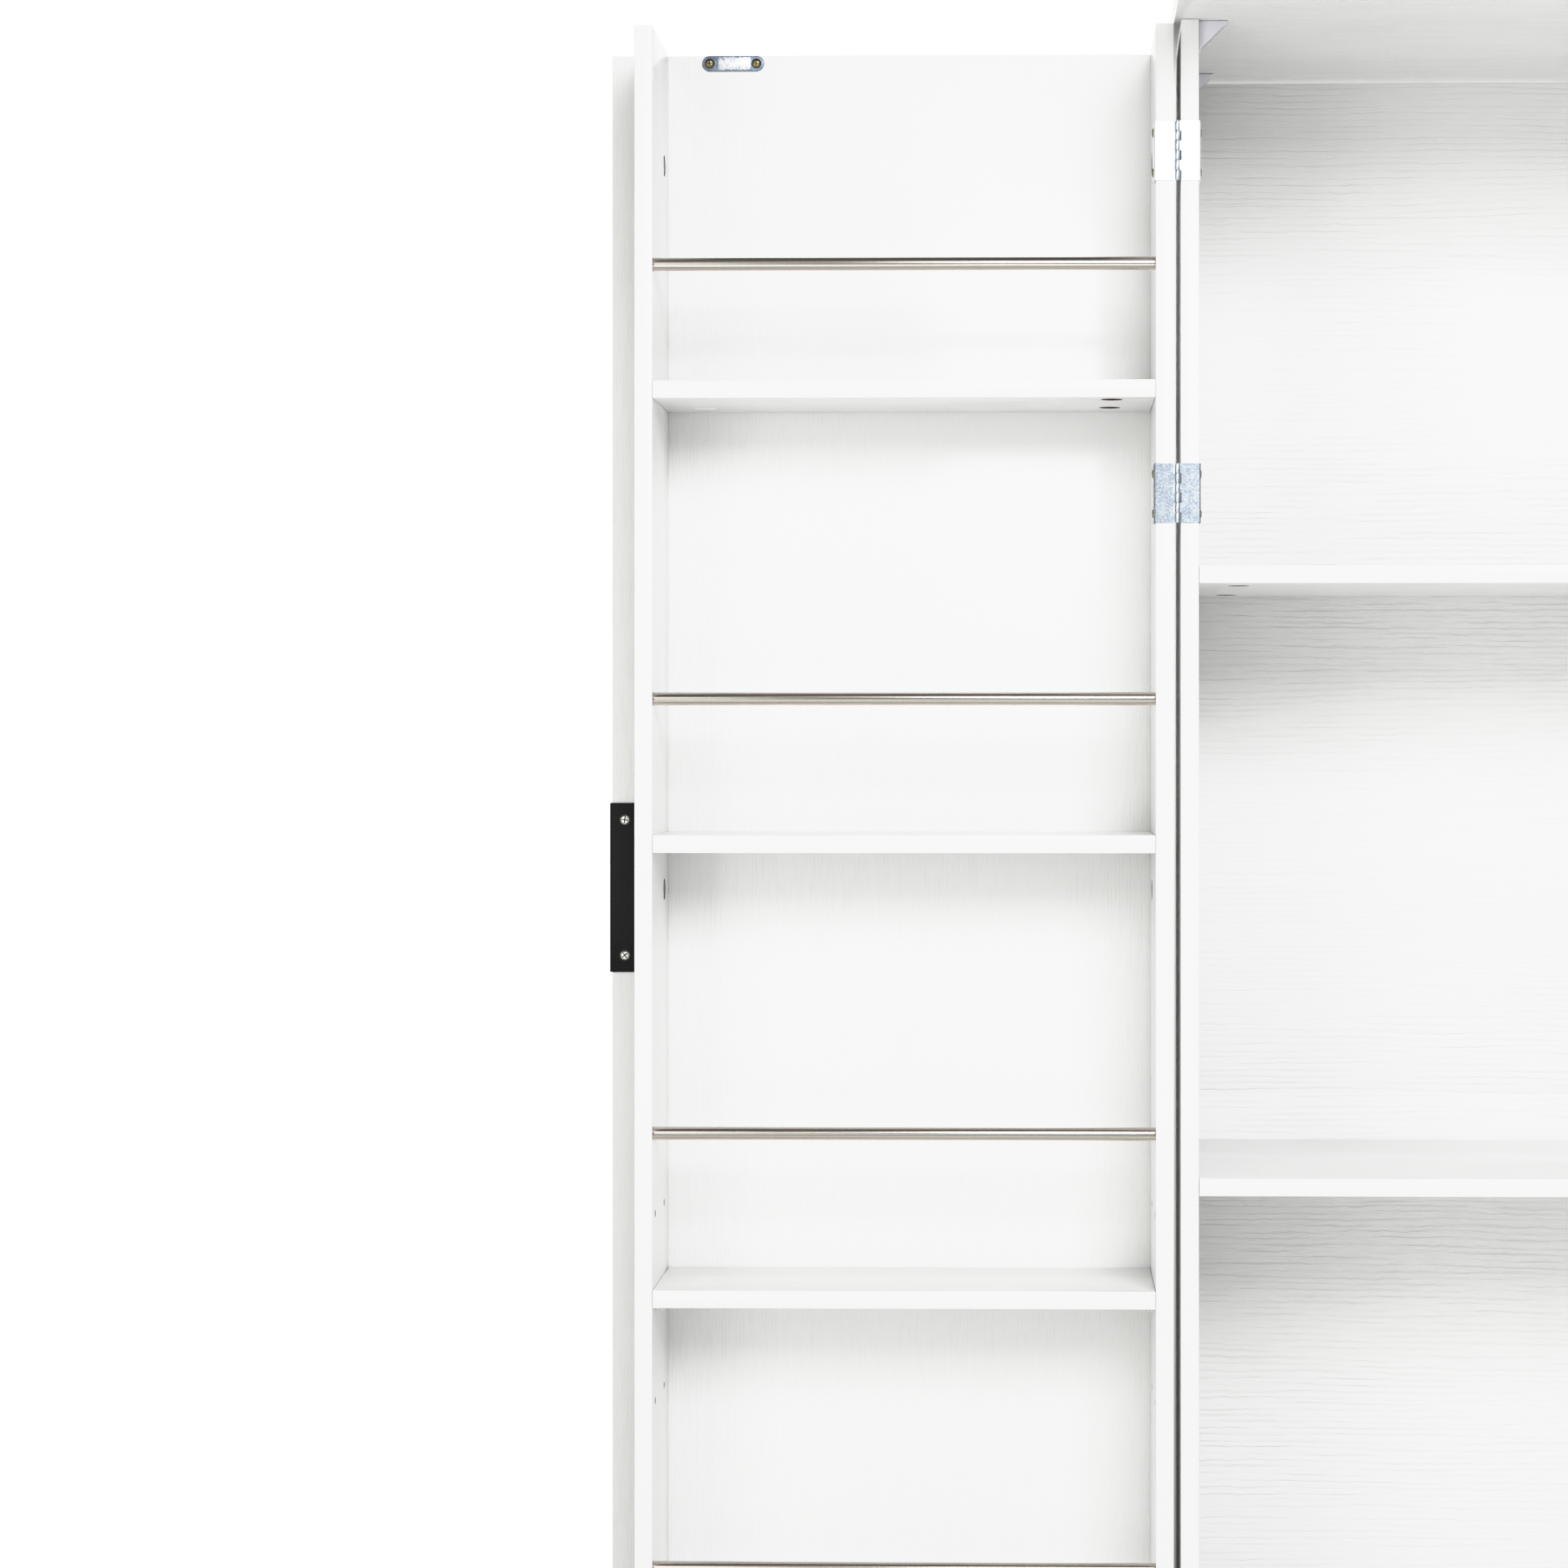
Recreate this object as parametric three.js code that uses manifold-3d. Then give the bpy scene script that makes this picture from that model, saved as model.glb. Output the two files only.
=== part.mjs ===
// Pantry cabinet with two rack doors, shown with both doors swung fully open.
// Millimetres, +Z up. The origin is on the floor, under the middle of the top board.
// The cabinet faces -Y. Each door is a shallow rack: a panel, two uprights, four shelves and four rails.

import * as THREE from "three";
import { mergeVertices } from "three/addons/utils/BufferGeometryUtils.js";
import Module from "manifold-3d";

const wasm = await Module();
wasm.setup();

// ---- Driving dimensions ----

const WIDTH = 800;
const DEPTH = 400;
const HEIGHT = 1270;
const BOARD = 12;
const BACK_SHEET = 3;
const SEAT_GAP = 0.3;
const CUT_MARGIN = 1;
const WELD_DISTANCE = 1e-4;

const GLIDE_HEIGHT = 5;
const GLIDE_RADIUS = 9;
const GLIDE_INSET = 27;
const PLINTH_HEIGHT = 56;
const PLINTH_SETBACK = 10;

const TOP_SIDE_OVERHANG = 4.5;
const TOP_FRONT_OVERHANG = 2;
const RACK_DEPTH = 120;
const CLOSED_GAP = 3;

const DOOR_CLEARANCE = 3;
const RACK_WIDTH = 365.5;
const PANEL_FREE_OVERHANG = 28;
const SIDE_TO_RACK_GAP = 5;

const UPPER_SHELF_DROP = 369.7;
const LOWER_SHELF_DROP = 784.5;
const BACK_SEAM_DROP = 750.6;

const DOOR_SHELF_PITCH = 308.7;
const DOOR_SHELF_COUNT = 4;

const RAIL_RADIUS = 4.5;
const RAIL_SOCKET_RADIUS = 4.8;
const RAIL_SOCKET_DEPTH = 6;
const RAIL_SETBACK = 8;
const TOP_RAIL_DROP = 161.4;
const RAIL_PITCH = 295.5;

const PIN_HOLE_RADIUS = 2.5;
const PIN_HOLE_DEPTH = 9;
const PIN_HOLE_PITCH = 64;
const PIN_ROWS = [22, 86];
const ADJUSTABLE_SHELF = 1;

const HINGE_HEIGHT = 40;
const HINGE_END_DROP = 86.3;
const HINGE_SECOND_DROP = 317.9;
const HINGE_SHEET = 1;
const HINGE_FLANGE = 19;
const KNUCKLE_RADIUS = 1.75;
const KNUCKLE_BORE = 1.1;
const KNUCKLE_COUNT = 6;
const KNUCKLE_NOTCH = 2.9;
const PIN_RADIUS = 0.85;

const STRIKE_WIDTH = 44;
const STRIKE_HEIGHT = 11;
const STRIKE_THICKNESS = 1.2;
const STRIKE_INSET = 45.9;
const CATCH_BODY = { width: 34, depth: 13, height: 14 };
const CATCH_EARS = { width: 60, height: 1.8, setback: 1 };

const PULL_LENGTH = 120;
const PULL_LEG = 18;
const PULL_SHEET = 1.4;
const PULL_REACH = 18;
const PULL_RETURN = 8;
const PULL_BEND = 2.2;

const BRACE_LEG = 20;
const BRACE_DEPTH = 15;
const BRACE_WALL = 2;
const BRACE_CHEEK = 1.6;
const BRACE_FRONT_SETBACKS = [7, 215];

const GLIDE_SIDES = 24;
const RAIL_SIDES = 16;
const BARREL_SIDES = 12;
const PIN_HOLE_SIDES = 8;
const PULL_ARC_STEPS = 4;
const STRIKE_ARC_STEPS = 8;

// ---- Levels and planes worked out from them ----

const frontEdge = -DEPTH / 2;
const rearEdge = DEPTH / 2;
const sideFront = frontEdge + TOP_FRONT_OVERHANG + BOARD + RACK_DEPTH + CLOSED_GAP;
const sideRear = rearEdge - BACK_SHEET - SEAT_GAP;
const bottomUnder = GLIDE_HEIGHT + PLINTH_HEIGHT;
const bottomTop = bottomUnder + BOARD;
const topUnder = HEIGHT - BOARD;
const sideOuter = WIDTH / 2 - TOP_SIDE_OVERHANG;
const sideInner = sideOuter - BOARD;

const hingeX = sideOuter + SIDE_TO_RACK_GAP / 2;
const hingeY = sideFront - CLOSED_GAP / 2;
const doorTop = topUnder - DOOR_CLEARANCE;
const doorBottom = bottomTop + DOOR_CLEARANCE;
const panelFront = sideFront + RACK_DEPTH;
const rackNear = SIDE_TO_RACK_GAP / 2;
const rackFar = rackNear + RACK_WIDTH;
const panelFar = rackFar + PANEL_FREE_OVERHANG;
const strikeCentre = rackFar - BOARD - STRIKE_INSET;
const hingeLevels = {
  top: doorTop - HINGE_END_DROP,
  second: doorTop - HINGE_SECOND_DROP,
  bottom: doorBottom + HINGE_END_DROP,
};

// ---- Materials ----

function finish(color, roughness, metalness) {
  return new THREE.MeshStandardMaterial({ color, roughness, metalness });
}

const laminate = finish(0xf4f4f2, 0.45, 0);
const backing = finish(0xefefec, 0.5, 0);
const whitePlastic = finish(0xeceaf0, 0.35, 0);
const greyPlastic = finish(0xd8d8d6, 0.45, 0);
const brushedSteel = finish(0xb9b4ae, 0.3, 1);
const zincPlate = finish(0xc6d2dc, 0.4, 1);
const blackMetal = finish(0x242225, 0.55, 0.4);

// ---- Solids ----

function toSolid(geometry) {
  const bare = geometry.index ? geometry.toNonIndexed() : geometry.clone();
  bare.deleteAttribute("normal");
  bare.deleteAttribute("uv");
  const merged = mergeVertices(bare, WELD_DISTANCE);
  return new wasm.Manifold(new wasm.Mesh({
    numProp: 3,
    vertProperties: new Float32Array(merged.attributes.position.array),
    triVerts: new Uint32Array(merged.index.array),
  }));
}

function toGeometry(solid) {
  const mesh = solid.getMesh();
  const geometry = new THREE.BufferGeometry();
  geometry.setAttribute("position", new THREE.BufferAttribute(mesh.vertProperties, 3));
  geometry.setIndex(new THREE.BufferAttribute(mesh.triVerts, 1));
  geometry.computeVertexNormals();
  return geometry;
}

// A box between two corners.
function block(low, high) {
  const size = high.map((value, i) => value - low[i]);
  const geometry = new THREE.BoxGeometry(...size);
  geometry.translate(...low.map((value, i) => (value + high[i]) / 2));
  return geometry;
}

// A round bar or hole along the given axis, starting at `start`.
function rod(radius, length, start, axis, segments) {
  const geometry = new THREE.CylinderGeometry(radius, radius, length, segments);
  geometry.translate(0, length / 2, 0);
  if (axis === "x") {
    geometry.rotateZ(-Math.PI / 2);
  }
  if (axis === "z") {
    geometry.rotateX(Math.PI / 2);
  }
  geometry.translate(...start);
  return geometry;
}

function cut(geometry, tools) {
  let solid = toSolid(geometry);
  for (const tool of tools) {
    solid = solid.subtract(toSolid(tool));
  }
  return toGeometry(solid);
}

function join(geometries) {
  let solid = toSolid(geometries[0]);
  for (const geometry of geometries.slice(1)) {
    solid = solid.add(toSolid(geometry));
  }
  return toGeometry(solid);
}

// Turns a left-hand piece into the right-hand one, with its faces still pointing out.
function mirrored(geometry) {
  const copy = geometry.index ? geometry.toNonIndexed() : geometry.clone();
  const position = copy.attributes.position;
  for (let i = 0; i < position.count; i += 3) {
    const corners = [0, 2, 1].map((k) => new THREE.Vector3().fromBufferAttribute(position, i + k));
    corners.forEach((corner, k) => position.setXYZ(i + k, -corner.x, corner.y, corner.z));
  }
  copy.computeVertexNormals();
  return copy;
}

const cabinet = new THREE.Group();
const model = new THREE.Group();
model.add(cabinet);

function place(parent, name, geometry, material) {
  const mesh = new THREE.Mesh(geometry, material);
  mesh.name = name;
  parent.add(mesh);
}

// Adds a piece drawn for the left side to both sides.
function placePair(parents, names, geometry, material) {
  place(parents[0], names[0], geometry, material);
  place(parents[1], names[1], mirrored(geometry), material);
}

// ---- Cabinet boards ----

function addCarcass() {
  const halfWidth = WIDTH / 2;
  const top = block([-halfWidth, frontEdge, topUnder], [halfWidth, rearEdge, HEIGHT]);
  const bottom = block([-halfWidth, frontEdge, bottomUnder + SEAT_GAP], [halfWidth, rearEdge, bottomTop]);
  place(cabinet, "top_board", top, laminate);
  place(cabinet, "bottom_board", bottom, laminate);
  const side = block(
    [-sideOuter, sideFront, bottomTop + SEAT_GAP],
    [-sideInner, sideRear, topUnder - SEAT_GAP],
  );
  placePair([cabinet, cabinet], ["left_side_panel", "right_side_panel"], side, laminate);

  const seam = topUnder - BACK_SEAM_DROP;
  const sheetFront = rearEdge - BACK_SHEET;
  const sheets = {
    back_panel_upper: [seam + SEAT_GAP / 2, topUnder - SEAT_GAP],
    back_panel_lower: [bottomTop + SEAT_GAP, seam - SEAT_GAP / 2],
  };
  for (const [name, [low, high]] of Object.entries(sheets)) {
    place(cabinet, name, block([-sideOuter, sheetFront, low], [sideOuter, rearEdge, high]), backing);
  }

  const shelfEnd = sideInner - SEAT_GAP;
  const drops = { upper_shelf: UPPER_SHELF_DROP, lower_shelf: LOWER_SHELF_DROP };
  for (const [name, drop] of Object.entries(drops)) {
    const level = topUnder - drop;
    const shelf = block([-shelfEnd, sideFront, level - BOARD], [shelfEnd, sideRear, level]);
    place(cabinet, name, shelf, laminate);
  }
}

// ---- Base: four plinth boards on four glides ----

function addBase() {
  const outerX = WIDTH / 2 - PLINTH_SETBACK;
  const outerY = DEPTH / 2 - PLINTH_SETBACK;
  const innerY = outerY - BOARD - SEAT_GAP;
  const low = GLIDE_HEIGHT;
  const high = bottomUnder;
  const front = block([-outerX, -outerY, low], [outerX, -outerY + BOARD, high]);
  const back = block([-outerX, outerY - BOARD, low], [outerX, outerY, high]);
  place(cabinet, "plinth_front", front, laminate);
  place(cabinet, "plinth_back", back, laminate);
  const side = block([-outerX, -innerY, low], [-outerX + BOARD, innerY, high]);
  placePair([cabinet, cabinet], ["plinth_left", "plinth_right"], side, laminate);

  const glideX = outerX - GLIDE_INSET;
  const glideY = outerY - BOARD / 2;
  for (const [name, y] of [["front", -glideY], ["rear", glideY]]) {
    const glide = rod(GLIDE_RADIUS, GLIDE_HEIGHT - SEAT_GAP, [-glideX, y, 0], "z", GLIDE_SIDES);
    placePair([cabinet, cabinet], [`glide_left_${name}`, `glide_right_${name}`], glide, greyPlastic);
  }
}

// ---- Corner braces: two cheeks and two legs, open along the slanted side ----

function triangularPrism(leg, inset, depth, frontY) {
  const outline = new THREE.Shape();
  outline.moveTo(inset, -inset);
  outline.lineTo(leg, -inset);
  outline.lineTo(inset, -leg);
  outline.closePath();
  const geometry = new THREE.ExtrudeGeometry(outline, { depth, bevelEnabled: false });
  geometry.rotateX(Math.PI / 2);
  geometry.translate(0, frontY + depth, 0);
  return geometry;
}

function addBraces() {
  const cornerX = -sideInner + SEAT_GAP;
  const cornerZ = topUnder - SEAT_GAP;
  const names = ["front", "rear"];
  BRACE_FRONT_SETBACKS.forEach((setback, i) => {
    const outer = triangularPrism(BRACE_LEG, 0, BRACE_DEPTH, 0);
    const hollowDepth = BRACE_DEPTH - 2 * BRACE_CHEEK;
    const hollow = triangularPrism(BRACE_LEG + 2 * BRACE_WALL, BRACE_WALL, hollowDepth, BRACE_CHEEK);
    const brace = cut(outer, [hollow]);
    brace.translate(cornerX, sideFront + setback, cornerZ);
    placePair(
      [cabinet, cabinet],
      [`corner_brace_left_${names[i]}`, `corner_brace_right_${names[i]}`],
      brace,
      whitePlastic,
    );
  });
}

// ---- Magnetic catches: a block with two screw ears, under the top board ----

function addCatches() {
  const closedX = -hingeX + strikeCentre;
  const strikeFace = panelFront - SEAT_GAP - STRIKE_THICKNESS;
  const closedStrikeY = 2 * hingeY - strikeFace;
  const front = closedStrikeY + SEAT_GAP;
  const ceiling = topUnder - SEAT_GAP;
  const ears = block(
    [closedX - CATCH_EARS.width / 2, front + CATCH_EARS.setback, ceiling - CATCH_EARS.height],
    [closedX + CATCH_EARS.width / 2, front + CATCH_BODY.depth, ceiling],
  );
  const body = block(
    [closedX - CATCH_BODY.width / 2, front, ceiling - CATCH_BODY.height],
    [closedX + CATCH_BODY.width / 2, front + CATCH_BODY.depth, ceiling],
  );
  placePair(
    [cabinet, cabinet],
    ["magnetic_catch_left", "magnetic_catch_right"],
    join([body, ears]),
    greyPlastic,
  );
}

// ---- Hinges: each leaf wraps a board's front edge and turns in along its inner face ----

function knuckleSpans(height, first) {
  const pitch = HINGE_HEIGHT / KNUCKLE_COUNT;
  const spans = [];
  for (let i = first; i < KNUCKLE_COUNT; i += 2) {
    const top = height + HINGE_HEIGHT / 2 - i * pitch;
    spans.push([top - pitch + SEAT_GAP / 2, top - SEAT_GAP / 2]);
  }
  return spans;
}

// A leaf drawn at the left hinge. `reach` is +1 towards the cabinet and -1 towards the door.
function leafSheet(height, reach, otherKnuckles) {
  const low = height - HINGE_HEIGHT / 2;
  const high = height + HINGE_HEIGHT / 2;
  const boardInner = SIDE_TO_RACK_GAP / 2 + BOARD;
  const turn = boardInner + SEAT_GAP;
  const plateRear = sideFront - SEAT_GAP;
  const plateFront = plateRear - HINGE_SHEET;
  const spanX = (a, b) => [Math.min(a * reach, b * reach) - hingeX, Math.max(a * reach, b * reach) - hingeX];
  const plateX = spanX(PIN_RADIUS / 2, turn + HINGE_SHEET);
  const flangeX = spanX(turn, turn + HINGE_SHEET);
  const plate = block([plateX[0], plateFront, low], [plateX[1], plateRear, high]);
  const flange = block([flangeX[0], plateFront, low], [flangeX[1], sideFront + HINGE_FLANGE, high]);
  const notchX = spanX(-CUT_MARGIN, KNUCKLE_NOTCH);
  const notches = otherKnuckles.map(([bottom, top]) => block(
    [notchX[0], plateFront - CUT_MARGIN, bottom - SEAT_GAP],
    [notchX[1], plateRear + CUT_MARGIN, top + SEAT_GAP],
  ));
  return cut(join([plate, flange]), notches);
}

function cabinetLeaf(height) {
  const own = knuckleSpans(height, 0);
  const pieces = [leafSheet(height, 1, knuckleSpans(height, 1))];
  for (const [bottom, top] of own) {
    pieces.push(rod(KNUCKLE_RADIUS, top - bottom, [-hingeX, hingeY, bottom], "z", BARREL_SIDES));
  }
  const pinBottom = height - HINGE_HEIGHT / 2 - SEAT_GAP;
  pieces.push(rod(PIN_RADIUS, HINGE_HEIGHT, [-hingeX, hingeY, pinBottom], "z", BARREL_SIDES));
  return join(pieces);
}

function doorLeaf(height) {
  const own = knuckleSpans(height, 1);
  const pieces = [leafSheet(height, -1, knuckleSpans(height, 0))];
  for (const [bottom, top] of own) {
    pieces.push(rod(KNUCKLE_RADIUS, top - bottom, [-hingeX, hingeY, bottom], "z", BARREL_SIDES));
  }
  const boreLength = HINGE_HEIGHT + 2 * CUT_MARGIN;
  const boreBottom = height - boreLength / 2;
  const bore = rod(KNUCKLE_BORE, boreLength, [-hingeX, hingeY, boreBottom], "z", BARREL_SIDES);
  return cut(join(pieces), [bore]);
}

// ---- Doors: drawn for the left side; x runs outwards from the hinge axis as `reach` ----

function fromHinge(reach) {
  return -hingeX - reach;
}

// `boredTowards` is +1 where the blind holes run towards +X and -1 where they run towards -X.
function upright(near, far, innerReach, boredTowards) {
  const board = block(
    [fromHinge(far), sideFront, doorBottom],
    [fromHinge(near), panelFront - SEAT_GAP, doorTop],
  );
  const holes = [];
  for (let i = 0; i < DOOR_SHELF_COUNT; i += 1) {
    const level = doorTop - TOP_RAIL_DROP - i * RAIL_PITCH;
    holes.push({
      radius: RAIL_SOCKET_RADIUS,
      depth: RAIL_SOCKET_DEPTH,
      y: RAIL_SETBACK,
      z: level,
      sides: BARREL_SIDES,
    });
  }
  const shelfUnder = doorBottom + ADJUSTABLE_SHELF * DOOR_SHELF_PITCH;
  for (const row of PIN_ROWS) {
    for (const step of [-1, 0, 1]) {
      const level = shelfUnder - PIN_HOLE_RADIUS + step * PIN_HOLE_PITCH;
      holes.push({
        radius: PIN_HOLE_RADIUS,
        depth: PIN_HOLE_DEPTH,
        y: row,
        z: level,
        sides: PIN_HOLE_SIDES,
      });
    }
  }
  const tools = holes.map(({ radius, depth, y, z, sides }) => {
    const startX = fromHinge(innerReach) - (boredTowards > 0 ? CUT_MARGIN : depth);
    return rod(radius, depth + CUT_MARGIN, [startX, sideFront + y, z], "x", sides);
  });
  return cut(board, tools);
}

function pullOutline() {
  const inner = -SEAT_GAP;
  const outer = inner - PULL_SHEET;
  const edge = SEAT_GAP;
  const tip = BOARD + PULL_REACH;
  const outline = new THREE.Shape();
  outline.moveTo(-PULL_LEG, outer);
  outline.lineTo(edge + PULL_SHEET - PULL_BEND, outer);
  outline.absarc(edge + PULL_SHEET - PULL_BEND, outer + PULL_BEND, PULL_BEND, -Math.PI / 2, 0, false);
  outline.lineTo(edge + PULL_SHEET, tip - PULL_BEND);
  outline.absarc(edge + PULL_SHEET - PULL_BEND, tip - PULL_BEND, PULL_BEND, 0, Math.PI / 2, false);
  outline.lineTo(-PULL_RETURN, tip);
  outline.lineTo(-PULL_RETURN, tip - PULL_SHEET);
  outline.lineTo(edge, tip - PULL_SHEET);
  outline.lineTo(edge, inner);
  outline.lineTo(-PULL_LEG, inner);
  outline.closePath();
  return outline;
}

function edgePull() {
  const geometry = new THREE.ExtrudeGeometry(pullOutline(), {
    depth: PULL_LENGTH,
    bevelEnabled: false,
    curveSegments: PULL_ARC_STEPS,
  });
  geometry.translate(0, 0, (doorTop + doorBottom - PULL_LENGTH) / 2);
  const leftFacing = mirrored(geometry);
  leftFacing.translate(fromHinge(panelFar), panelFront, 0);
  return leftFacing;
}

function strikePlate() {
  const half = STRIKE_WIDTH / 2 - STRIKE_HEIGHT / 2;
  const radius = STRIKE_HEIGHT / 2;
  const outline = new THREE.Shape();
  outline.moveTo(-half, -radius);
  outline.lineTo(half, -radius);
  outline.absarc(half, 0, radius, -Math.PI / 2, Math.PI / 2, false);
  outline.lineTo(-half, radius);
  outline.absarc(-half, 0, radius, Math.PI / 2, 1.5 * Math.PI, false);
  const geometry = new THREE.ExtrudeGeometry(outline, {
    depth: STRIKE_THICKNESS,
    bevelEnabled: false,
    curveSegments: STRIKE_ARC_STEPS,
  });
  geometry.rotateX(Math.PI / 2);
  geometry.translate(fromHinge(strikeCentre), panelFront - SEAT_GAP, doorTop - STRIKE_HEIGHT / 2);
  return geometry;
}

const leftDoor = new THREE.Group();
const rightDoor = new THREE.Group();
model.add(leftDoor);
model.add(rightDoor);

function addToDoors(label, geometry, material) {
  placePair([leftDoor, rightDoor], [`left_door_${label}`, `right_door_${label}`], geometry, material);
}

function addDoorBoards() {
  const panel = block(
    [fromHinge(panelFar), panelFront, doorBottom],
    [fromHinge(rackNear), panelFront + BOARD, doorTop],
  );
  addToDoors("panel", panel, laminate);
  addToDoors("hinge_upright", upright(rackNear, rackNear + BOARD, rackNear + BOARD, 1), laminate);
  addToDoors("free_upright", upright(rackFar - BOARD, rackFar, rackFar - BOARD, -1), laminate);

  const shelfNear = rackNear + BOARD + SEAT_GAP;
  const shelfFar = rackFar - BOARD - SEAT_GAP;
  for (let i = 0; i < DOOR_SHELF_COUNT; i += 1) {
    const low = doorBottom + (DOOR_SHELF_COUNT - 1 - i) * DOOR_SHELF_PITCH;
    const shelf = block(
      [fromHinge(shelfFar), sideFront, low],
      [fromHinge(shelfNear), panelFront - SEAT_GAP, low + BOARD],
    );
    addToDoors(`shelf_${i + 1}`, shelf, laminate);
  }
}

function addDoorRails() {
  const spare = SEAT_GAP;
  const near = rackNear + BOARD - RAIL_SOCKET_DEPTH + spare;
  const far = rackFar - BOARD + RAIL_SOCKET_DEPTH - spare;
  for (let i = 0; i < DOOR_SHELF_COUNT; i += 1) {
    const level = doorTop - TOP_RAIL_DROP - i * RAIL_PITCH;
    const start = [fromHinge(far), sideFront + RAIL_SETBACK, level];
    const rail = rod(RAIL_RADIUS, far - near, start, "x", RAIL_SIDES);
    addToDoors(`rail_${i + 1}`, rail, brushedSteel);
  }
}

function addHinges() {
  for (const [name, height] of Object.entries(hingeLevels)) {
    placePair(
      [cabinet, cabinet],
      [`left_${name}_hinge_cabinet_leaf`, `right_${name}_hinge_cabinet_leaf`],
      cabinetLeaf(height),
      zincPlate,
    );
    addToDoors(`${name}_hinge_leaf`, doorLeaf(height), zincPlate);
  }
}

addCarcass();
addBase();
addBraces();
addCatches();
addDoorBoards();
addDoorRails();
addToDoors("strike_plate", strikePlate(), zincPlate);
addToDoors("edge_pull", edgePull(), blackMetal);
addHinges();

export default model;
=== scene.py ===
"""Looks of the pantry cabinet: boards, fittings, materials, lights and camera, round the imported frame.

Metres, +Z up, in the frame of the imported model. The cabinet faces -Y and both rack doors stand open.
"""

import math

import bmesh
import bpy
from mathutils import Matrix, Vector


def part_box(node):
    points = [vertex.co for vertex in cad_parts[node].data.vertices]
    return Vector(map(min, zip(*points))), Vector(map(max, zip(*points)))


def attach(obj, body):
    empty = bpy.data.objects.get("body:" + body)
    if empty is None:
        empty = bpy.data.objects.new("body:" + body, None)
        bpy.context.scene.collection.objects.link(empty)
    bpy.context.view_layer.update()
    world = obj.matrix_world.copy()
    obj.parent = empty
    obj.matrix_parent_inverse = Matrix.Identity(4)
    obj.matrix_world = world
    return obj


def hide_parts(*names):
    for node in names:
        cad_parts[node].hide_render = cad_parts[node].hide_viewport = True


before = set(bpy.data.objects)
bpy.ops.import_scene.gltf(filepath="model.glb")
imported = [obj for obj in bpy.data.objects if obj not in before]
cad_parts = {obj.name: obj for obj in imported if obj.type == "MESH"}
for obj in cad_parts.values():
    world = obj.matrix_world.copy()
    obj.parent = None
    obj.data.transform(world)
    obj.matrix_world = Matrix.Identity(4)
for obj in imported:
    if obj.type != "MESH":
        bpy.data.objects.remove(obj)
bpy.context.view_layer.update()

AXES = "xyz"
SIDES = {"left": -1, "right": 1}
TIERS = range(1, 5)
GAP = 0.0003

# ---- Sizes of what the boards carry ----

EDGE_ROUNDING = 0.0005
CAM_RADIUS = 0.0075
CAM_DEPTH = 0.0095
SHELF_CAM_SINK = 0.0032
UPRIGHT_CAM_SINK = 0.0005
CAP_RADIUS = 0.0082
CAP_HEIGHT = 0.0006
CAM_FROM_END = 0.0292
DOOR_SHELF_CAM_ROWS = (0.0195, 0.084)
CABINET_SHELF_CAM_ROWS = (0.052, 0.22)
UPRIGHT_CAM_DROPS = (0.0825, 0.5895, 1.0965)
UPRIGHT_CAM_ROW = 0.088
RAIL_SOCKET_RADIUS = 0.0048
RAIL_SOCKET_DEPTH = 0.006
PIN_RADIUS = 0.0024
PIN_HOLE_RADIUS = 0.0025
PIN_HOLE_DEPTH = 0.009
PIN_HOLE_PITCH = 0.064
PIN_ROWS = (0.022, 0.086)
PIN_REACH = 0.0065
ADJUSTABLE_SHELF = 3
NAIL_RADIUS = 0.0017
NAIL_PITCH = 0.098
NAIL_INSET = 0.006

HINGE_SHEET = 0.001
HINGE_BEND = 0.0003
KNUCKLE_RADIUS = 0.00175
KNUCKLE_BORE = 0.0011
KNUCKLE_COUNT = 6
KNUCKLE_NOTCH = 0.0029
HINGE_PIN_RADIUS = 0.00085
HINGE_SCREW_SPREAD = 0.027
HINGE_SCREW_RADIUS = 0.0031
HINGE_SCREW_SETBACK = 0.0105
SCREW_TURNS = 90.0

PULL_SHEET = 0.0014
PULL_RETURN = 0.008
PULL_BEND = 0.0022
PULL_SCREW_SPREAD = 0.096
PULL_SCREW_INSET = 0.0091
PULL_SCREW_RADIUS = 0.0034
STRIKE_SCREW_SPREAD = 0.0331
STRIKE_SCREW_RADIUS = 0.0028
STRIKE_SINK_RADIUS = 0.0036
WEAR_HALF_WIDTH = 0.0116
WEAR_HALF_HEIGHT = 0.0046
WEAR_SHIFT = 0.001
WEAR_RAGGEDNESS = 0.004
WEAR_SOFT_WIDTH = 0.0008
WEAR_SOFT_HEIGHT = 0.0006

CATCH_BODY_WIDTH = 0.034
CATCH_BODY_SETBACK = 0.0012
CATCH_EAR_HEIGHT = 0.0018
CATCH_EAR_SETBACK = 0.001
CATCH_POLE_LEVELS = (0.0035, 0.0095)
CATCH_POLE_HALF_THICKNESS = 0.0008
CATCH_POLE_INSET = 0.003
CATCH_POLE_LENGTH = 0.004
CATCH_MAGNET_LEVELS = (0.0044, 0.0086)
CATCH_MAGNET_INSET = 0.004
CATCH_MAGNET_SETBACK = 0.0008
CATCH_SCREW_OUTSET = 0.0062
CATCH_SCREW_SHIFT = 0.0005
CATCH_SCREW_RADIUS = 0.0029
BRACE_WALL = 0.002
BRACE_CHEEK = 0.0016
BRACE_SCREW_RADIUS = 0.0033
BRACE_SCREW_ALONG_LEG = 0.52
SCREW_SINK = 0.0002

SHARP_DEGREES = 38

# ---- Grain of the laminate ----

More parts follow.
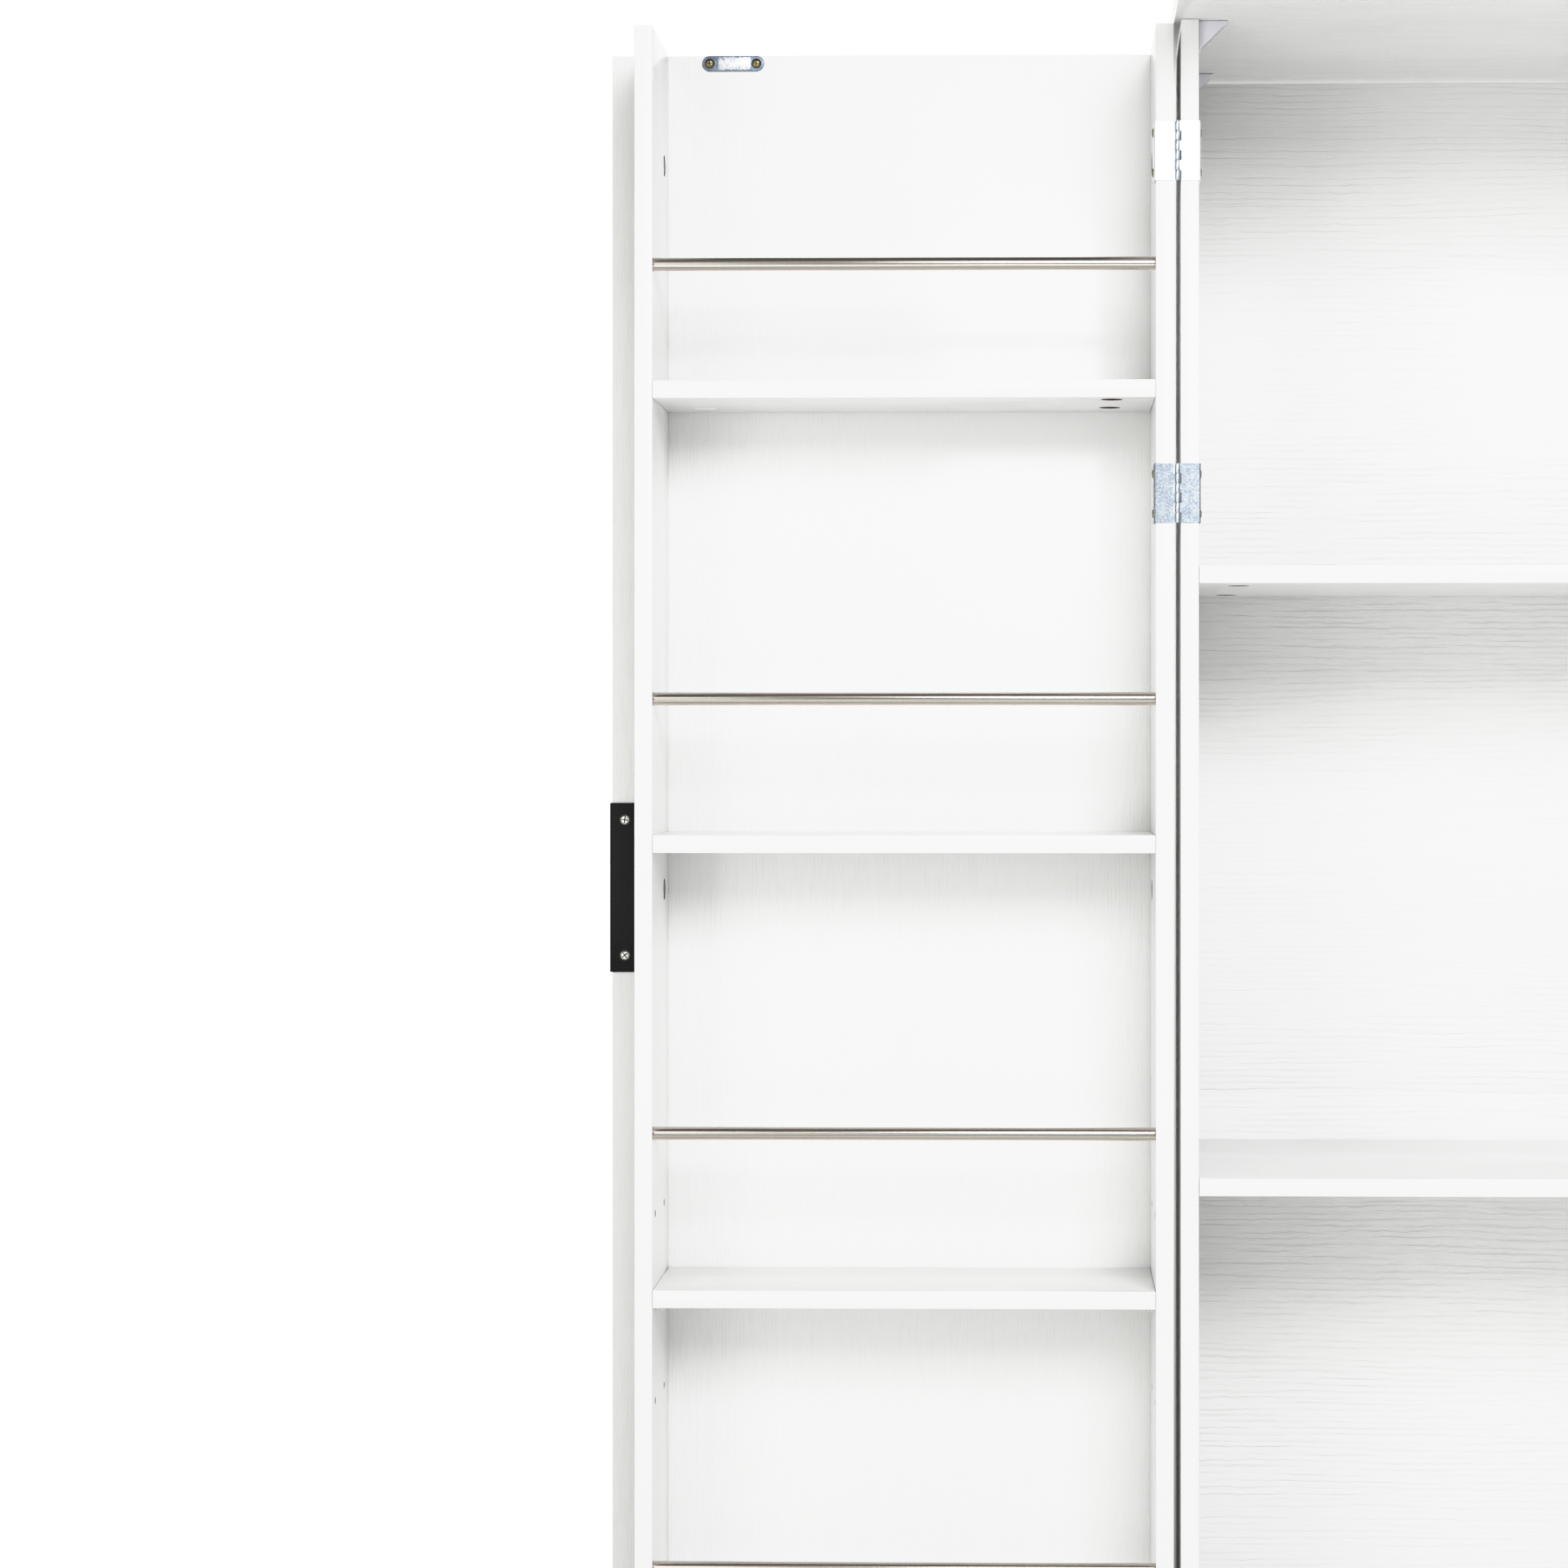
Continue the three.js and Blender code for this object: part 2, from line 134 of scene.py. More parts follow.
# For each direction of grain: pitch of the lines, their relief, the tone of their grooves, how long a dash
# is, and the share of fine pores.
GRAIN = {
    "x": (0.0047, 0.0006, 0.83, 0.07, 0.2),
    "y": (0.0040, 0.0003, 0.84, 0.026, 0.3),
    "z": (0.0024, 0.00012, 0.865, 0.026, 0.3),
}
GRAIN_DRIFT = 0.009
GRAIN_WOBBLE = 0.0008
GRAIN_RIPPLE = 7.0
GRAIN_SHIFTS = 89
GRAIN_SHIFT_STEP = 0.73

# ---- Light and camera ----

WARM = (1.0, 0.993, 0.965)
COOL = (0.98, 0.988, 1.0)
FLOOR_BOX = ((-2.6, -3.4, -0.03), (2.6, 0.86, 0.0))

# The room's light by the rise of the direction it comes from: -1 is straight down and 1 straight up.
ROOM_LIGHT = ((-0.16, 0.22), (0.0, 0.45), (0.32, 0.45), (0.52, 0.16))
# The glow behind the cabinet starts where the direction's y passes REAR_SPREAD. REAR_FADE dims it low down:
# over its first two values of z, it rises from the third number to the fourth.
REAR_LIGHT = 2.8
REAR_SPREAD = (0.8, 0.97)
REAR_FADE = (-0.25, 0.1, 0.05, 1.0)

# The tone curve is straight up to LINEAR_LIMIT, then nears BRIGHTEST_BOARD. The backdrop alone is pure white.
BACKDROP = 2.0
LINEAR_LIMIT = 0.72
BRIGHTEST_BOARD = 0.957
SHOULDER_WIDTH = 0.237
SHOULDER_STOPS = 7

CAMERA_PLACE = (-0.4966, -2.683, 0.770)
CAMERA_YAW = 1.2
CAMERA_LENS = 88.85
CAMERA_SHIFT = (-0.1062, -0.028)


# ---- Node trees ----

class Tree:
    """A node tree, with short calls for the nodes used here."""

    def __init__(self, tree):
        self.tree = tree

    def put(self, socket, value):
        if isinstance(value, bpy.types.NodeSocket):
            self.tree.links.new(value, socket)
        else:
            socket.default_value = value

    def add(self, kind, *inputs, **settings):
        node = self.tree.nodes.new(kind)
        for key, value in settings.items():
            setattr(node, key, value)
        for socket, value in zip(node.inputs, inputs):
            self.put(socket, value)
        return node

    def math(self, operation, first, second=0.0):
        return self.add("ShaderNodeMath", first, second, operation=operation).outputs[0]

    def parts(self, vector):
        """A vector's x, y and z."""
        return list(self.add("ShaderNodeSeparateXYZ", vector).outputs)

    def place(self):
        """The point's x, y and z in the frame."""
        return self.parts(self.add("ShaderNodeTexCoord").outputs["Object"])

    def stretched(self, parts, scales, shift=0.0):
        """A vector from three coordinates, each times its own scale."""
        scaled = [self.math("MULTIPLY", part, scale) for part, scale in zip(parts, scales)]
        scaled[2] = self.math("ADD", scaled[2], shift)
        return self.add("ShaderNodeCombineXYZ", *scaled).outputs[0]

    def noise(self, vector, detail=2.0, roughness=0.5):
        node = self.add("ShaderNodeTexNoise")
        self.put(node.inputs["Vector"], vector)
        self.put(node.inputs["Scale"], 1.0)
        self.put(node.inputs["Detail"], detail)
        self.put(node.inputs["Roughness"], roughness)
        return node.outputs[0]

    def speckle(self, place, scale, detail=2.0, roughness=0.5):
        """Noise with the same scale every way."""
        return self.noise(self.stretched(place, (scale,) * 3), detail, roughness)

    def cells(self, place, scale):
        """Voronoi cells: the distance to a cell's middle, and the cell's own colour."""
        node = self.add("ShaderNodeTexVoronoi", feature="F1")
        self.put(node.inputs["Vector"], self.stretched(place, (scale,) * 3))
        self.put(node.inputs["Scale"], 1.0)
        return node.outputs[0], node.outputs[1]

    def span(self, value, low, high, to_low=0.0, to_high=1.0):
        return self.add("ShaderNodeMapRange", value, low, high, to_low, to_high).outputs[0]

    def ramp(self, value, *stops):
        node = self.add("ShaderNodeValToRGB", value)
        elements = node.color_ramp.elements
        while len(elements) < len(stops):
            elements.new(0.5)
        for element, (position, colour) in zip(elements, stops):
            element.position = position
            element.color = (*colour, 1.0)
        return node.outputs[0]

    def mix(self, factor, first, second, kind="Color", **settings):
        """Blends two colours or two floats. The node's sockets share names, so they go by identifier."""
        node = self.add("ShaderNodeMix", data_type={"Color": "RGBA", "Float": "FLOAT"}[kind], **settings)
        sockets = {socket.identifier: socket for socket in (*node.inputs, *node.outputs)}
        for name, value in (("Factor_Float", factor), (f"A_{kind}", first), (f"B_{kind}", second)):
            self.put(sockets[name], value)
        return sockets[f"Result_{kind}"]


class Nodes(Tree):
    """A new material's node tree; `shader` gives the Principled shader's plain values."""

    def __init__(self, name, **shader):
        self.material = bpy.data.materials.new(name)
        self.material.use_nodes = True
        super().__init__(self.material.node_tree)
        self.shader = self.tree.nodes["Principled BSDF"]
        for socket, value in shader.items():
            self.shader.inputs[socket.replace("_", " ")].default_value = value

    def bump(self, height, distance, strength=1.0):
        node = self.add("ShaderNodeBump")
        self.put(node.inputs["Strength"], strength)
        self.put(node.inputs["Distance"], distance)
        self.put(node.inputs["Height"], height)
        self.put(self.shader.inputs["Normal"], node.outputs[0])

    def colour(self, value):
        self.put(self.shader.inputs["Base Color"], value)

    def roughness(self, value):
        self.put(self.shader.inputs["Roughness"], value)


MADE = {}


def once(make):
    """Keeps each material, so that boards that match share one."""
    def kept(*arguments):
        key = (make.__name__, *arguments)
        if key not in MADE:
            MADE[key] = make(*arguments)
        return MADE[key]
    return kept


# ---- Materials ----

@once
def laminate(grain, across):
    """White wood-embossed laminate: wavy growth lines broken into dashes, with fine pores between them."""
    pitch, relief, darkest, dash_length, pore_share = GRAIN[grain]
    nodes = Nodes(f"laminate_{grain}_{across}", Roughness=0.46, Coat_Weight=0.4, Coat_Roughness=0.14)
    place = dict(zip(AXES, nodes.place()))
    through = next(axis for axis in AXES if axis not in (grain, across))
    along, over, depth = place[grain], place[across], place[through]
    shift = nodes.add("ShaderNodeAttribute", attribute_name="grain_shift").outputs["Fac"]

    drift = nodes.noise(nodes.stretched((along, over, depth), (2.4, 9.0, 5.0), shift))
    over = nodes.math("ADD", over, nodes.span(drift, 0.0, 1.0, -GRAIN_DRIFT, GRAIN_DRIFT))
    wobble = nodes.noise(nodes.stretched((along, over, depth), (90.0, 90.0, 5.0), shift), 3.0)
    over = nodes.math("ADD", over, nodes.span(wobble, 0.2, 0.8, -GRAIN_WOBBLE, GRAIN_WOBBLE))
    parts = (along, over, depth)

    ripple = nodes.noise(nodes.stretched(parts, (11.0, 110.0, 5.0), shift))
    phase = nodes.math("MULTIPLY", over, math.tau / pitch)
    phase = nodes.math("ADD", phase, nodes.math("MULTIPLY", ripple, GRAIN_RIPPLE))
    line = nodes.math("POWER", nodes.span(nodes.math("SINE", phase), -1.0, 1.0), 2.2)
    dash = nodes.span(nodes.noise(nodes.stretched(parts, (1 / dash_length, 520.0, 5.0), shift)), 0.40, 0.60)
    pore = nodes.span(nodes.noise(nodes.stretched(parts, (85.0, 1500.0, 5.0), shift)), 0.48, 0.66)
    patch = nodes.span(nodes.noise(nodes.stretched(parts, (1.7, 5.0, 5.0), shift)), 0.36, 0.62, 0.35, 1.0)
    lines = nodes.math("MULTIPLY", nodes.math("MULTIPLY", line, dash), 0.75)
    grooves = nodes.math("ADD", lines, nodes.math("MULTIPLY", pore, pore_share))
    grooves = nodes.math("MULTIPLY", grooves, patch)

    flat, deep = (0.92, 0.92, 0.915), (darkest, darkest, darkest * 0.99)
    nodes.colour(nodes.ramp(grooves, (0.0, flat), (0.8, deep)))
    nodes.bump(nodes.math("MULTIPLY", grooves, -1.0), relief)
    return nodes.material


@once
def edge_band(grain):
    """Smooth white edge strip: faint streaks along the board over a fine orange-peel."""
    nodes = Nodes(f"edge_band_{grain}", Roughness=0.4, Coat_Weight=0.4, Coat_Roughness=0.15)
    place = nodes.place()
    scales = [14.0 if axis == grain else 900.0 for axis in AXES]
    streak = nodes.noise(nodes.stretched(place, scales), 2.0, 0.6)
    peel = nodes.speckle(place, 420.0, 1.0)
    nodes.colour(nodes.ramp(streak, (0.3, (0.90, 0.898, 0.895)), (0.55, (0.93, 0.93, 0.925))))
    nodes.bump(peel, 0.00002, 0.6)
    return nodes.material


@once
def chipboard_in_painted_shade():
    """Bare particle board, seen in drilled holes: brown, darkened to near black as painted shade inside the
    holes.
    """
    nodes = Nodes("chipboard_in_painted_shade", Roughness=0.85)
    chips = nodes.cells(nodes.place(), 900.0)[0]
    tone = nodes.math("MULTIPLY", chips, 1.4)
    nodes.colour(nodes.ramp(tone, (0.0, (0.11, 0.065, 0.035)), (1.0, (0.04, 0.024, 0.014))))
    nodes.bump(chips, 0.0003)
    return nodes.material


@once
def hardboard():
    """The rear of the back sheets: thin painted fibreboard."""
    nodes = Nodes("hardboard", Roughness=0.7)
    place = nodes.place()
    cloud = nodes.speckle(place, 9.0, 5.0, 0.6)
    fibre = nodes.noise(nodes.stretched(place, (300.0, 300.0, 900.0)), 3.0, 0.7)
    mixed = nodes.math("ADD", nodes.math("MULTIPLY", cloud, 0.6), nodes.math("MULTIPLY", fibre, 0.4))
    nodes.colour(nodes.ramp(mixed, (0.3, (0.74, 0.735, 0.71)), (0.7, (0.80, 0.795, 0.775))))
    nodes.bump(fibre, 0.0001)
    return nodes.material


@once
def brushed_nickel():
    """Rail tube: warm satin nickel drawn lengthwise, with faint cross-brushing. Round it runs a painted
    reflection: stripes of light and dark tone set by how far the surface faces up.
    """
    nodes = Nodes("brushed_nickel", Metallic=1.0)
    place = nodes.place()
    rings = nodes.noise(nodes.stretched(place, (900.0, 40.0, 40.0)), 2.0, 0.6)
    streak = nodes.noise(nodes.stretched(place, (5.0, 900.0, 900.0)), 3.0, 0.6)
    tone = nodes.math("ADD", nodes.math("MULTIPLY", rings, 0.25), nodes.math("MULTIPLY", streak, 0.75))
    # Painted reflection: the colour steps through light and dark stripes with the upward part of the normal.
    facing_up = nodes.parts(nodes.add("ShaderNodeNewGeometry").outputs["Normal"])[2]
    facing_up = nodes.math("ADD", facing_up, nodes.span(streak, 0.3, 0.7, -0.06, 0.06))
    painted_reflection_bands = nodes.ramp(
        nodes.span(facing_up, -1.0, 1.0),
        (0.0, (0.80, 0.74, 0.68)),
        (0.22, (0.60, 0.53, 0.46)),
        (0.32, (0.98, 0.93, 0.83)),
        (0.42, (0.27, 0.26, 0.24)),
        (0.56, (0.30, 0.29, 0.28)),
        (0.64, (0.58, 0.52, 0.47)),
        (0.80, (0.48, 0.41, 0.35)),
        (0.90, (0.70, 0.65, 0.58)),
        (1.0, (0.64, 0.62, 0.60)),
    )
    brushing = nodes.ramp(tone, (0.3, (0.82, 0.82, 0.82)), (0.7, (1.0, 1.0, 1.0)))
    nodes.colour(nodes.mix(1.0, painted_reflection_bands, brushing, blend_type="MULTIPLY"))
    nodes.roughness(nodes.span(streak, 0.3, 0.7, 0.2, 0.3))
    nodes.bump(streak, 0.00001, 0.4)
    return nodes.material


def spangled(nodes, place):
    """Crystal spangles under fine pits and slow clouds, about 0.5 in the middle."""
    spangle = nodes.add("ShaderNodeSeparateColor", nodes.cells(place, 1500.0)[1]).outputs[0]
    pits = nodes.speckle(place, 2200.0, 2.0, 0.7)
    cloud = nodes.speckle(place, 160.0, 3.0)
    tone = nodes.math("ADD", nodes.math("MULTIPLY", spangle, 0.25), nodes.math("MULTIPLY", pits, 0.55))
    return nodes.math("ADD", tone, nodes.math("MULTIPLY", cloud, 0.2))


@once
def galvanised(shade):
    """Zinc plate: blue-grey and finely speckled. `shade` darkens it, 1 is fresh zinc."""
    nodes = Nodes(f"galvanised_{round(shade * 100)}", Metallic=1.0)
    tone = spangled(nodes, nodes.place())
    tones = [(0.36, (0.36, 0.44, 0.58)), (0.5, (0.58, 0.67, 0.78)), (0.62, (0.82, 0.88, 0.95))]
    nodes.colour(nodes.ramp(tone, *[(spot, tuple(part * shade for part in tint)) for spot, tint in tones]))
    nodes.roughness(nodes.span(tone, 0.36, 0.62, 0.55, 0.42))
    nodes.bump(tone, 0.00004)
    return nodes.material


def smooth_zinc(name, dark, light, roughness):
    """Zinc without spangles: soft clouds of tone over a fine grit."""
    nodes = Nodes(name, Metallic=1.0)
    place = nodes.place()
    cloud = nodes.speckle(place, 220.0, 3.0)
    grit = nodes.speckle(place, 1900.0)
    nodes.colour(nodes.ramp(cloud, (0.3, dark), (0.7, light)))
    nodes.roughness(nodes.span(grit, 0.3, 0.7, roughness, roughness + 0.14))
    nodes.bump(grit, 0.00002)
    return nodes.material


@once
def painted_highlight_zinc():
    """Nearly white plating with soft clouding: a painted highlight, given to the top hinge's leaves."""
    return smooth_zinc("painted_highlight_zinc", (0.80, 0.86, 0.92), (0.90, 0.94, 0.97), 0.36)


@once
def burnished_zinc():
    """The hinge barrels, burnished by turning."""
    return smooth_zinc("burnished_zinc", (0.52, 0.60, 0.68), (0.66, 0.73, 0.80), 0.26)


@once
def worn_strike(centre_x, centre_z):
    """The strike plate: dull zinc, rubbed bright and scratched where the magnet meets it."""
    nodes = Nodes("worn_strike", Metallic=1.0)
    place = nodes.place()
    dull = spangled(nodes, place)
    scratch = nodes.noise(nodes.stretched(place, (1300.0, 1300.0, 260.0)), 3.0, 0.75)
    ragged = nodes.speckle(place, 700.0, 3.0, 0.7)
    aside = nodes.math("ABSOLUTE", nodes.math("SUBTRACT", nodes.math("ABSOLUTE", place[0]), centre_x))
    above = nodes.math("ABSOLUTE", nodes.math("SUBTRACT", place[2], centre_z))
    rim = nodes.math("MULTIPLY", nodes.math("SUBTRACT", ragged, 0.5), WEAR_RAGGEDNESS)
    aside, above = nodes.math("ADD", aside, rim), nodes.math("ADD", above, rim)
    across = nodes.span(aside, WEAR_HALF_WIDTH, WEAR_HALF_WIDTH - WEAR_SOFT_WIDTH)
    upward = nodes.span(above, WEAR_HALF_HEIGHT, WEAR_HALF_HEIGHT - WEAR_SOFT_HEIGHT)
    worn = nodes.math("MULTIPLY", across, upward)
    tarnished = nodes.ramp(dull, (0.36, (0.085, 0.115, 0.155)), (0.62, (0.24, 0.28, 0.34)))
    rubbed = nodes.ramp(scratch, (0.38, (0.22, 0.25, 0.30)), (0.56, (0.74, 0.77, 0.80)))
    nodes.colour(nodes.mix(worn, tarnished, rubbed))
    nodes.roughness(nodes.span(worn, 0.0, 1.0, 0.5, 0.36))
    nodes.bump(scratch, 0.00003)
    return nodes.material


def plated(name, dark, light, roughness):
    """A plated screw, nail or pin, its tone varied by a little wear."""
    nodes = Nodes(name, Metallic=1.0)
    wear = nodes.speckle(nodes.place(), 900.0, 3.0, 0.6)
    nodes.colour(nodes.ramp(wear, (0.3, dark), (0.7, light)))
    nodes.roughness(nodes.span(wear, 0.3, 0.7, roughness, roughness + 0.15))
    nodes.bump(wear, 0.00002, 0.5)
    return nodes.material


@once
def nickel_screw():
    return plated("nickel_screw", (0.66, 0.65, 0.60), (0.88, 0.87, 0.83), 0.2)


@once
def yellow_zinc_screw():
    return plated("yellow_zinc_screw", (0.09, 0.075, 0.035), (0.42, 0.36, 0.20), 0.25)


@once
def dark_metal_and_painted_shade():
    """Near-black metal: the magnet's own colour, and painted shade in driver recesses, countersink rims and
    the shelf cams in their holes.
    """
    nodes = Nodes("dark_metal_and_painted_shade", Roughness=0.6, Metallic=0.6)
    dark_mottle = nodes.speckle(nodes.place(), 1200.0)
    nodes.colour(nodes.ramp(dark_mottle, (0.3, (0.02, 0.017, 0.014)), (0.7, (0.06, 0.05, 0.04))))
    nodes.bump(dark_mottle, 0.00004)
    return nodes.material


@once
def black_powder_coat():
    """The pull's matt black powder coat, with its fine pebbled skin."""
    nodes = Nodes("black_powder_coat", Specular_IOR_Level=0.17)
    place = nodes.place()
    pebble = nodes.speckle(place, 1500.0)
    cloud = nodes.speckle(place, 60.0)
    nodes.colour(nodes.ramp(cloud, (0.3, (0.0052, 0.0046, 0.0056)), (0.7, (0.0072, 0.0065, 0.0078))))
    nodes.roughness(nodes.span(pebble, 0.3, 0.7, 0.42, 0.6))
    nodes.bump(pebble, 0.00005, 0.8)
    return nodes.material


def moulded(name, base, roughness):
    """Injection-moulded plastic: a faint spark-eroded texture and slow colour drift."""
    nodes = Nodes(name, Roughness=roughness)
    place = nodes.place()
    skin = nodes.speckle(place, 1300.0)
    drift = nodes.speckle(place, 70.0)
    darker = tuple(value * 0.95 for value in base)
    nodes.colour(nodes.ramp(drift, (0.3, darker), (0.7, base)))
    nodes.bump(skin, 0.00004, 0.6)
    return nodes.material


@once
def white_plastic():
    # White plastic tinted lavender-grey: painted cool shade, like the shade the braces sit in under the top
    # board.
    return moulded("white_plastic", (0.80, 0.79, 0.86), 0.36)


@once
def cap_plastic():
    return moulded("cap_plastic", (0.87, 0.87, 0.86), 0.4)


@once
def grey_plastic():
    return moulded("grey_plastic", (0.62, 0.62, 0.61), 0.45)


# ---- Solids, as bmeshes ----

def cuboid(low, high, rounding=0.0, steps=2):
    """A box between two corners, its edges eased."""
    solid = bmesh.new()
    bmesh.ops.create_cube(solid, size=1.0)
    low, high = Vector(low), Vector(high)
    for vertex in solid.verts:
        vertex.co = Vector(a + (b - a) * (c + 0.5) for a, b, c in zip(low, high, vertex.co))
    if rounding:
        bmesh.ops.bevel(solid, geom=solid.edges[:], offset=rounding, segments=steps, profile=0.5,
                        affect="EDGES")
    return solid


def lathe(profile, sides=32, hollow=False):
    """A solid of revolution about Z. `profile` is (radius, height) pairs; a hollow one closes on itself."""
    solid = bmesh.new()
    rings = []
    for radius, height in profile:
        turns = [math.tau * k / sides for k in range(sides if radius > 0 else 1)]
        rings.append([solid.verts.new((radius * math.cos(t), radius * math.sin(t), height)) for t in turns])
    pairs = list(zip(rings, rings[1:]))
    if hollow:
        pairs.append((rings[-1], rings[0]))
    for lower, upper in pairs:
        for k in range(sides):
            corners = [lower[k % len(lower)], lower[(k + 1) % len(lower)],
                       upper[(k + 1) % len(upper)], upper[k % len(upper)]]
            solid.faces.new(list(dict.fromkeys(corners))).smooth = True
    bmesh.ops.recalc_face_normals(solid, faces=solid.faces)
    return solid


def rounded_rod(radius, length, rounding, sides=32):
    """A round bar along Z from 0, its two ends eased."""
    steps, shoulder = 3, radius - rounding
    quarter = [math.pi / 2 * k / steps for k in range(steps + 1)]
    profile = [(shoulder + rounding * math.sin(t), rounding - rounding * math.cos(t)) for t in quarter]
    profile += [(r, length - h) for r, h in reversed(profile)]
    return lathe([(0.0, 0.0), *profile, (0.0, length)], sides)


def arc(centre, radius, start, end, steps=6):
    """Points on an arc, angles in degrees."""
    turns = [math.radians(start + (end - start) * k / steps) for k in range(steps + 1)]
    return [(centre[0] + radius * math.cos(t), centre[1] + radius * math.sin(t)) for t in turns]


def extruded(outline, depth, rounding=0.0, smooth_span=0.002):
    """The outline in XY drawn up along Z, its end edges eased. Narrow side faces are shaded smooth."""
    solid = bmesh.new()
    floor = [solid.verts.new((x, y, 0.0)) for x, y in outline]
    roof = [solid.verts.new((x, y, depth)) for x, y in outline]
    solid.faces.new(floor[::-1])
    solid.faces.new(roof)
    for i in range(len(outline)):
        k = (i + 1) % len(outline)
        side = solid.faces.new((floor[i], floor[k], roof[k], roof[i]))
        side.smooth = (floor[i].co - floor[k].co).length < smooth_span
    bmesh.ops.recalc_face_normals(solid, faces=solid.faces)
    if rounding:
        ends = [e for e in solid.edges if all(abs(v.co.z - e.verts[0].co.z) < 1e-9 for v in e.verts)]
        bmesh.ops.bevel(solid, geom=ends, offset=rounding, segments=2, profile=0.5, affect="EDGES",
                        clamp_overlap=True)
    return solid


def moved(solid, matrix):
    """The solid carried by the matrix; a mirrored one keeps its faces outward."""
    bmesh.ops.transform(solid, matrix=matrix, verts=solid.verts)
    if matrix.determinant() < 0:
        bmesh.ops.reverse_faces(solid, faces=solid.faces)
    return solid


def facing(point, direction):
    """The matrix that sets a part drawn along +Z at `point`, pointing in `direction`."""
    turn = Vector(direction).to_track_quat("Z", "Y").to_matrix().to_4x4()
    return Matrix.Translation(point) @ turn


def gathered(solids):
    """Several bmeshes as one."""
    whole = bmesh.new()
    for solid in solids:
        mesh = bpy.data.meshes.new("part")
        solid.to_mesh(mesh)
        solid.free()
        whole.from_mesh(mesh)
        bpy.data.meshes.remove(mesh)
    return whole


def combined(solid, tool, operation):
    """The exact boolean of two bmeshes."""
    made = []
    for part in (solid, tool):
        mesh = bpy.data.meshes.new("part")
        part.to_mesh(mesh)
        part.free()
        made.append(bpy.data.objects.new("part", mesh))
        bpy.context.scene.collection.objects.link(made[-1])
    modifier = made[0].modifiers.new("combine", "BOOLEAN")
    modifier.operation = operation
    modifier.solver = "EXACT"
    modifier.object = made[1]
    evaluated = made[0].evaluated_get(bpy.context.evaluated_depsgraph_get())
    result = bmesh.new()
    result.from_mesh(evaluated.to_mesh())
    evaluated.to_mesh_clear()
    for part in made:
        mesh = part.data
        bpy.data.objects.remove(part)
        bpy.data.meshes.remove(mesh)
    return result


class Piece:
    """One visible piece, gathered from closed parts that each bring their own materials."""

    def __init__(self, name):
        self.name = name
        self.whole = bmesh.new()
        self.materials = []

    def add(self, part, *materials):
        """Takes in a part whose faces count through `materials` by their material index."""
        for material in materials:
            if material not in self.materials:
                self.materials.append(material)
        for face in part.faces:
            face.material_index = self.materials.index(materials[face.material_index])
        mesh = bpy.data.meshes.new("part")
        part.to_mesh(mesh)
        part.free()
        self.whole.from_mesh(mesh)
        bpy.data.meshes.remove(mesh)

    def finish(self, body, node=None, mirrored=False):
        """Makes the object, which rides on the body and stands in for the node, if it has one."""
        if mirrored:
            moved(self.whole, Matrix.Scale(-1.0, 4, (1.0, 0.0, 0.0)))
        mesh = bpy.data.meshes.new(self.name)
        self.whole.to_mesh(mesh)
        self.whole.free()
        for material in self.materials:
            mesh.materials.append(material)
        mesh.set_sharp_from_angle(angle=math.radians(SHARP_DEGREES))
        shift = mesh.attributes.new("grain_shift", "FLOAT", "POINT")
        own_shift = sum(map(ord, self.name)) % GRAIN_SHIFTS * GRAIN_SHIFT_STEP
        shift.data.foreach_set("value", [own_shift] * len(mesh.vertices))
        piece = bpy.data.objects.new(self.name, mesh)
        bpy.context.scene.collection.objects.link(piece)
        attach(piece, body)
        if node:
            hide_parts(node)


SCREWS = {}


def screw_head(radius, point, direction):
    """A cross-recessed screw head on a surface. Material 0 is the head and 1 the recess, where the near-black
    material is painted shade.
    """
    if radius not in SCREWS:
        height = radius * 0.36
        head = lathe([(0.0, -SCREW_SINK), (radius, -SCREW_SINK), (radius, height * 0.2),
                      (radius * 0.9, height * 0.62), (radius * 0.62, height * 0.92), (0.0, height)])
        arm, half = radius * 0.62, radius * 0.13
        cross = [(half, -arm), (half, -half), (arm, -half), (arm, half), (half, half), (half, arm),
                 (-half, arm), (-half, half), (-arm, half), (-arm, -half), (-half, -half), (-half, -arm)]
        recess = extruded(cross, height, smooth_span=0.0)
        moved(recess, Matrix.Translation((0.0, 0.0, height * 0.15)))
        head = combined(head, recess, "DIFFERENCE")
        for face in head.faces:
            centre = face.calc_center_median()
            in_recess = abs(face.normal.z) < 0.1 or centre.z < height * 0.3
            face.material_index = int(in_recess and centre.xy.length < arm * 1.05 and centre.z > 0.0)
        SCREWS[radius] = head
    turn = Matrix.Rotation((point[0] + point[2]) * SCREW_TURNS, 4, "Z")
    return moved(SCREWS[radius].copy(), facing(point, direction) @ turn)


def painted_sink_shadow(radius, point, direction):
    """A thin ring round a screw head, in the near-black material it is given: a painted shadow of its
    countersunk hole.
    """
    foot, crest, floor = 0.00001, 0.0001, 0.00005
    ring = lathe([(0.0, foot), (radius, foot), (radius * 0.98, crest), (radius * 0.8, floor), (0.0, floor)])
    return moved(ring, facing(point, direction))


# ---- Boards ----

def hole(point, direction, radius, depth, sides=32):
    """A blind hole, cut from a board's surface into it along `direction`."""
    mouth = 0.001
    cutter = lathe([(0.0, -mouth), (radius, -mouth), (radius, depth), (0.0, depth)], sides)
    return moved(cutter, facing(point, direction))


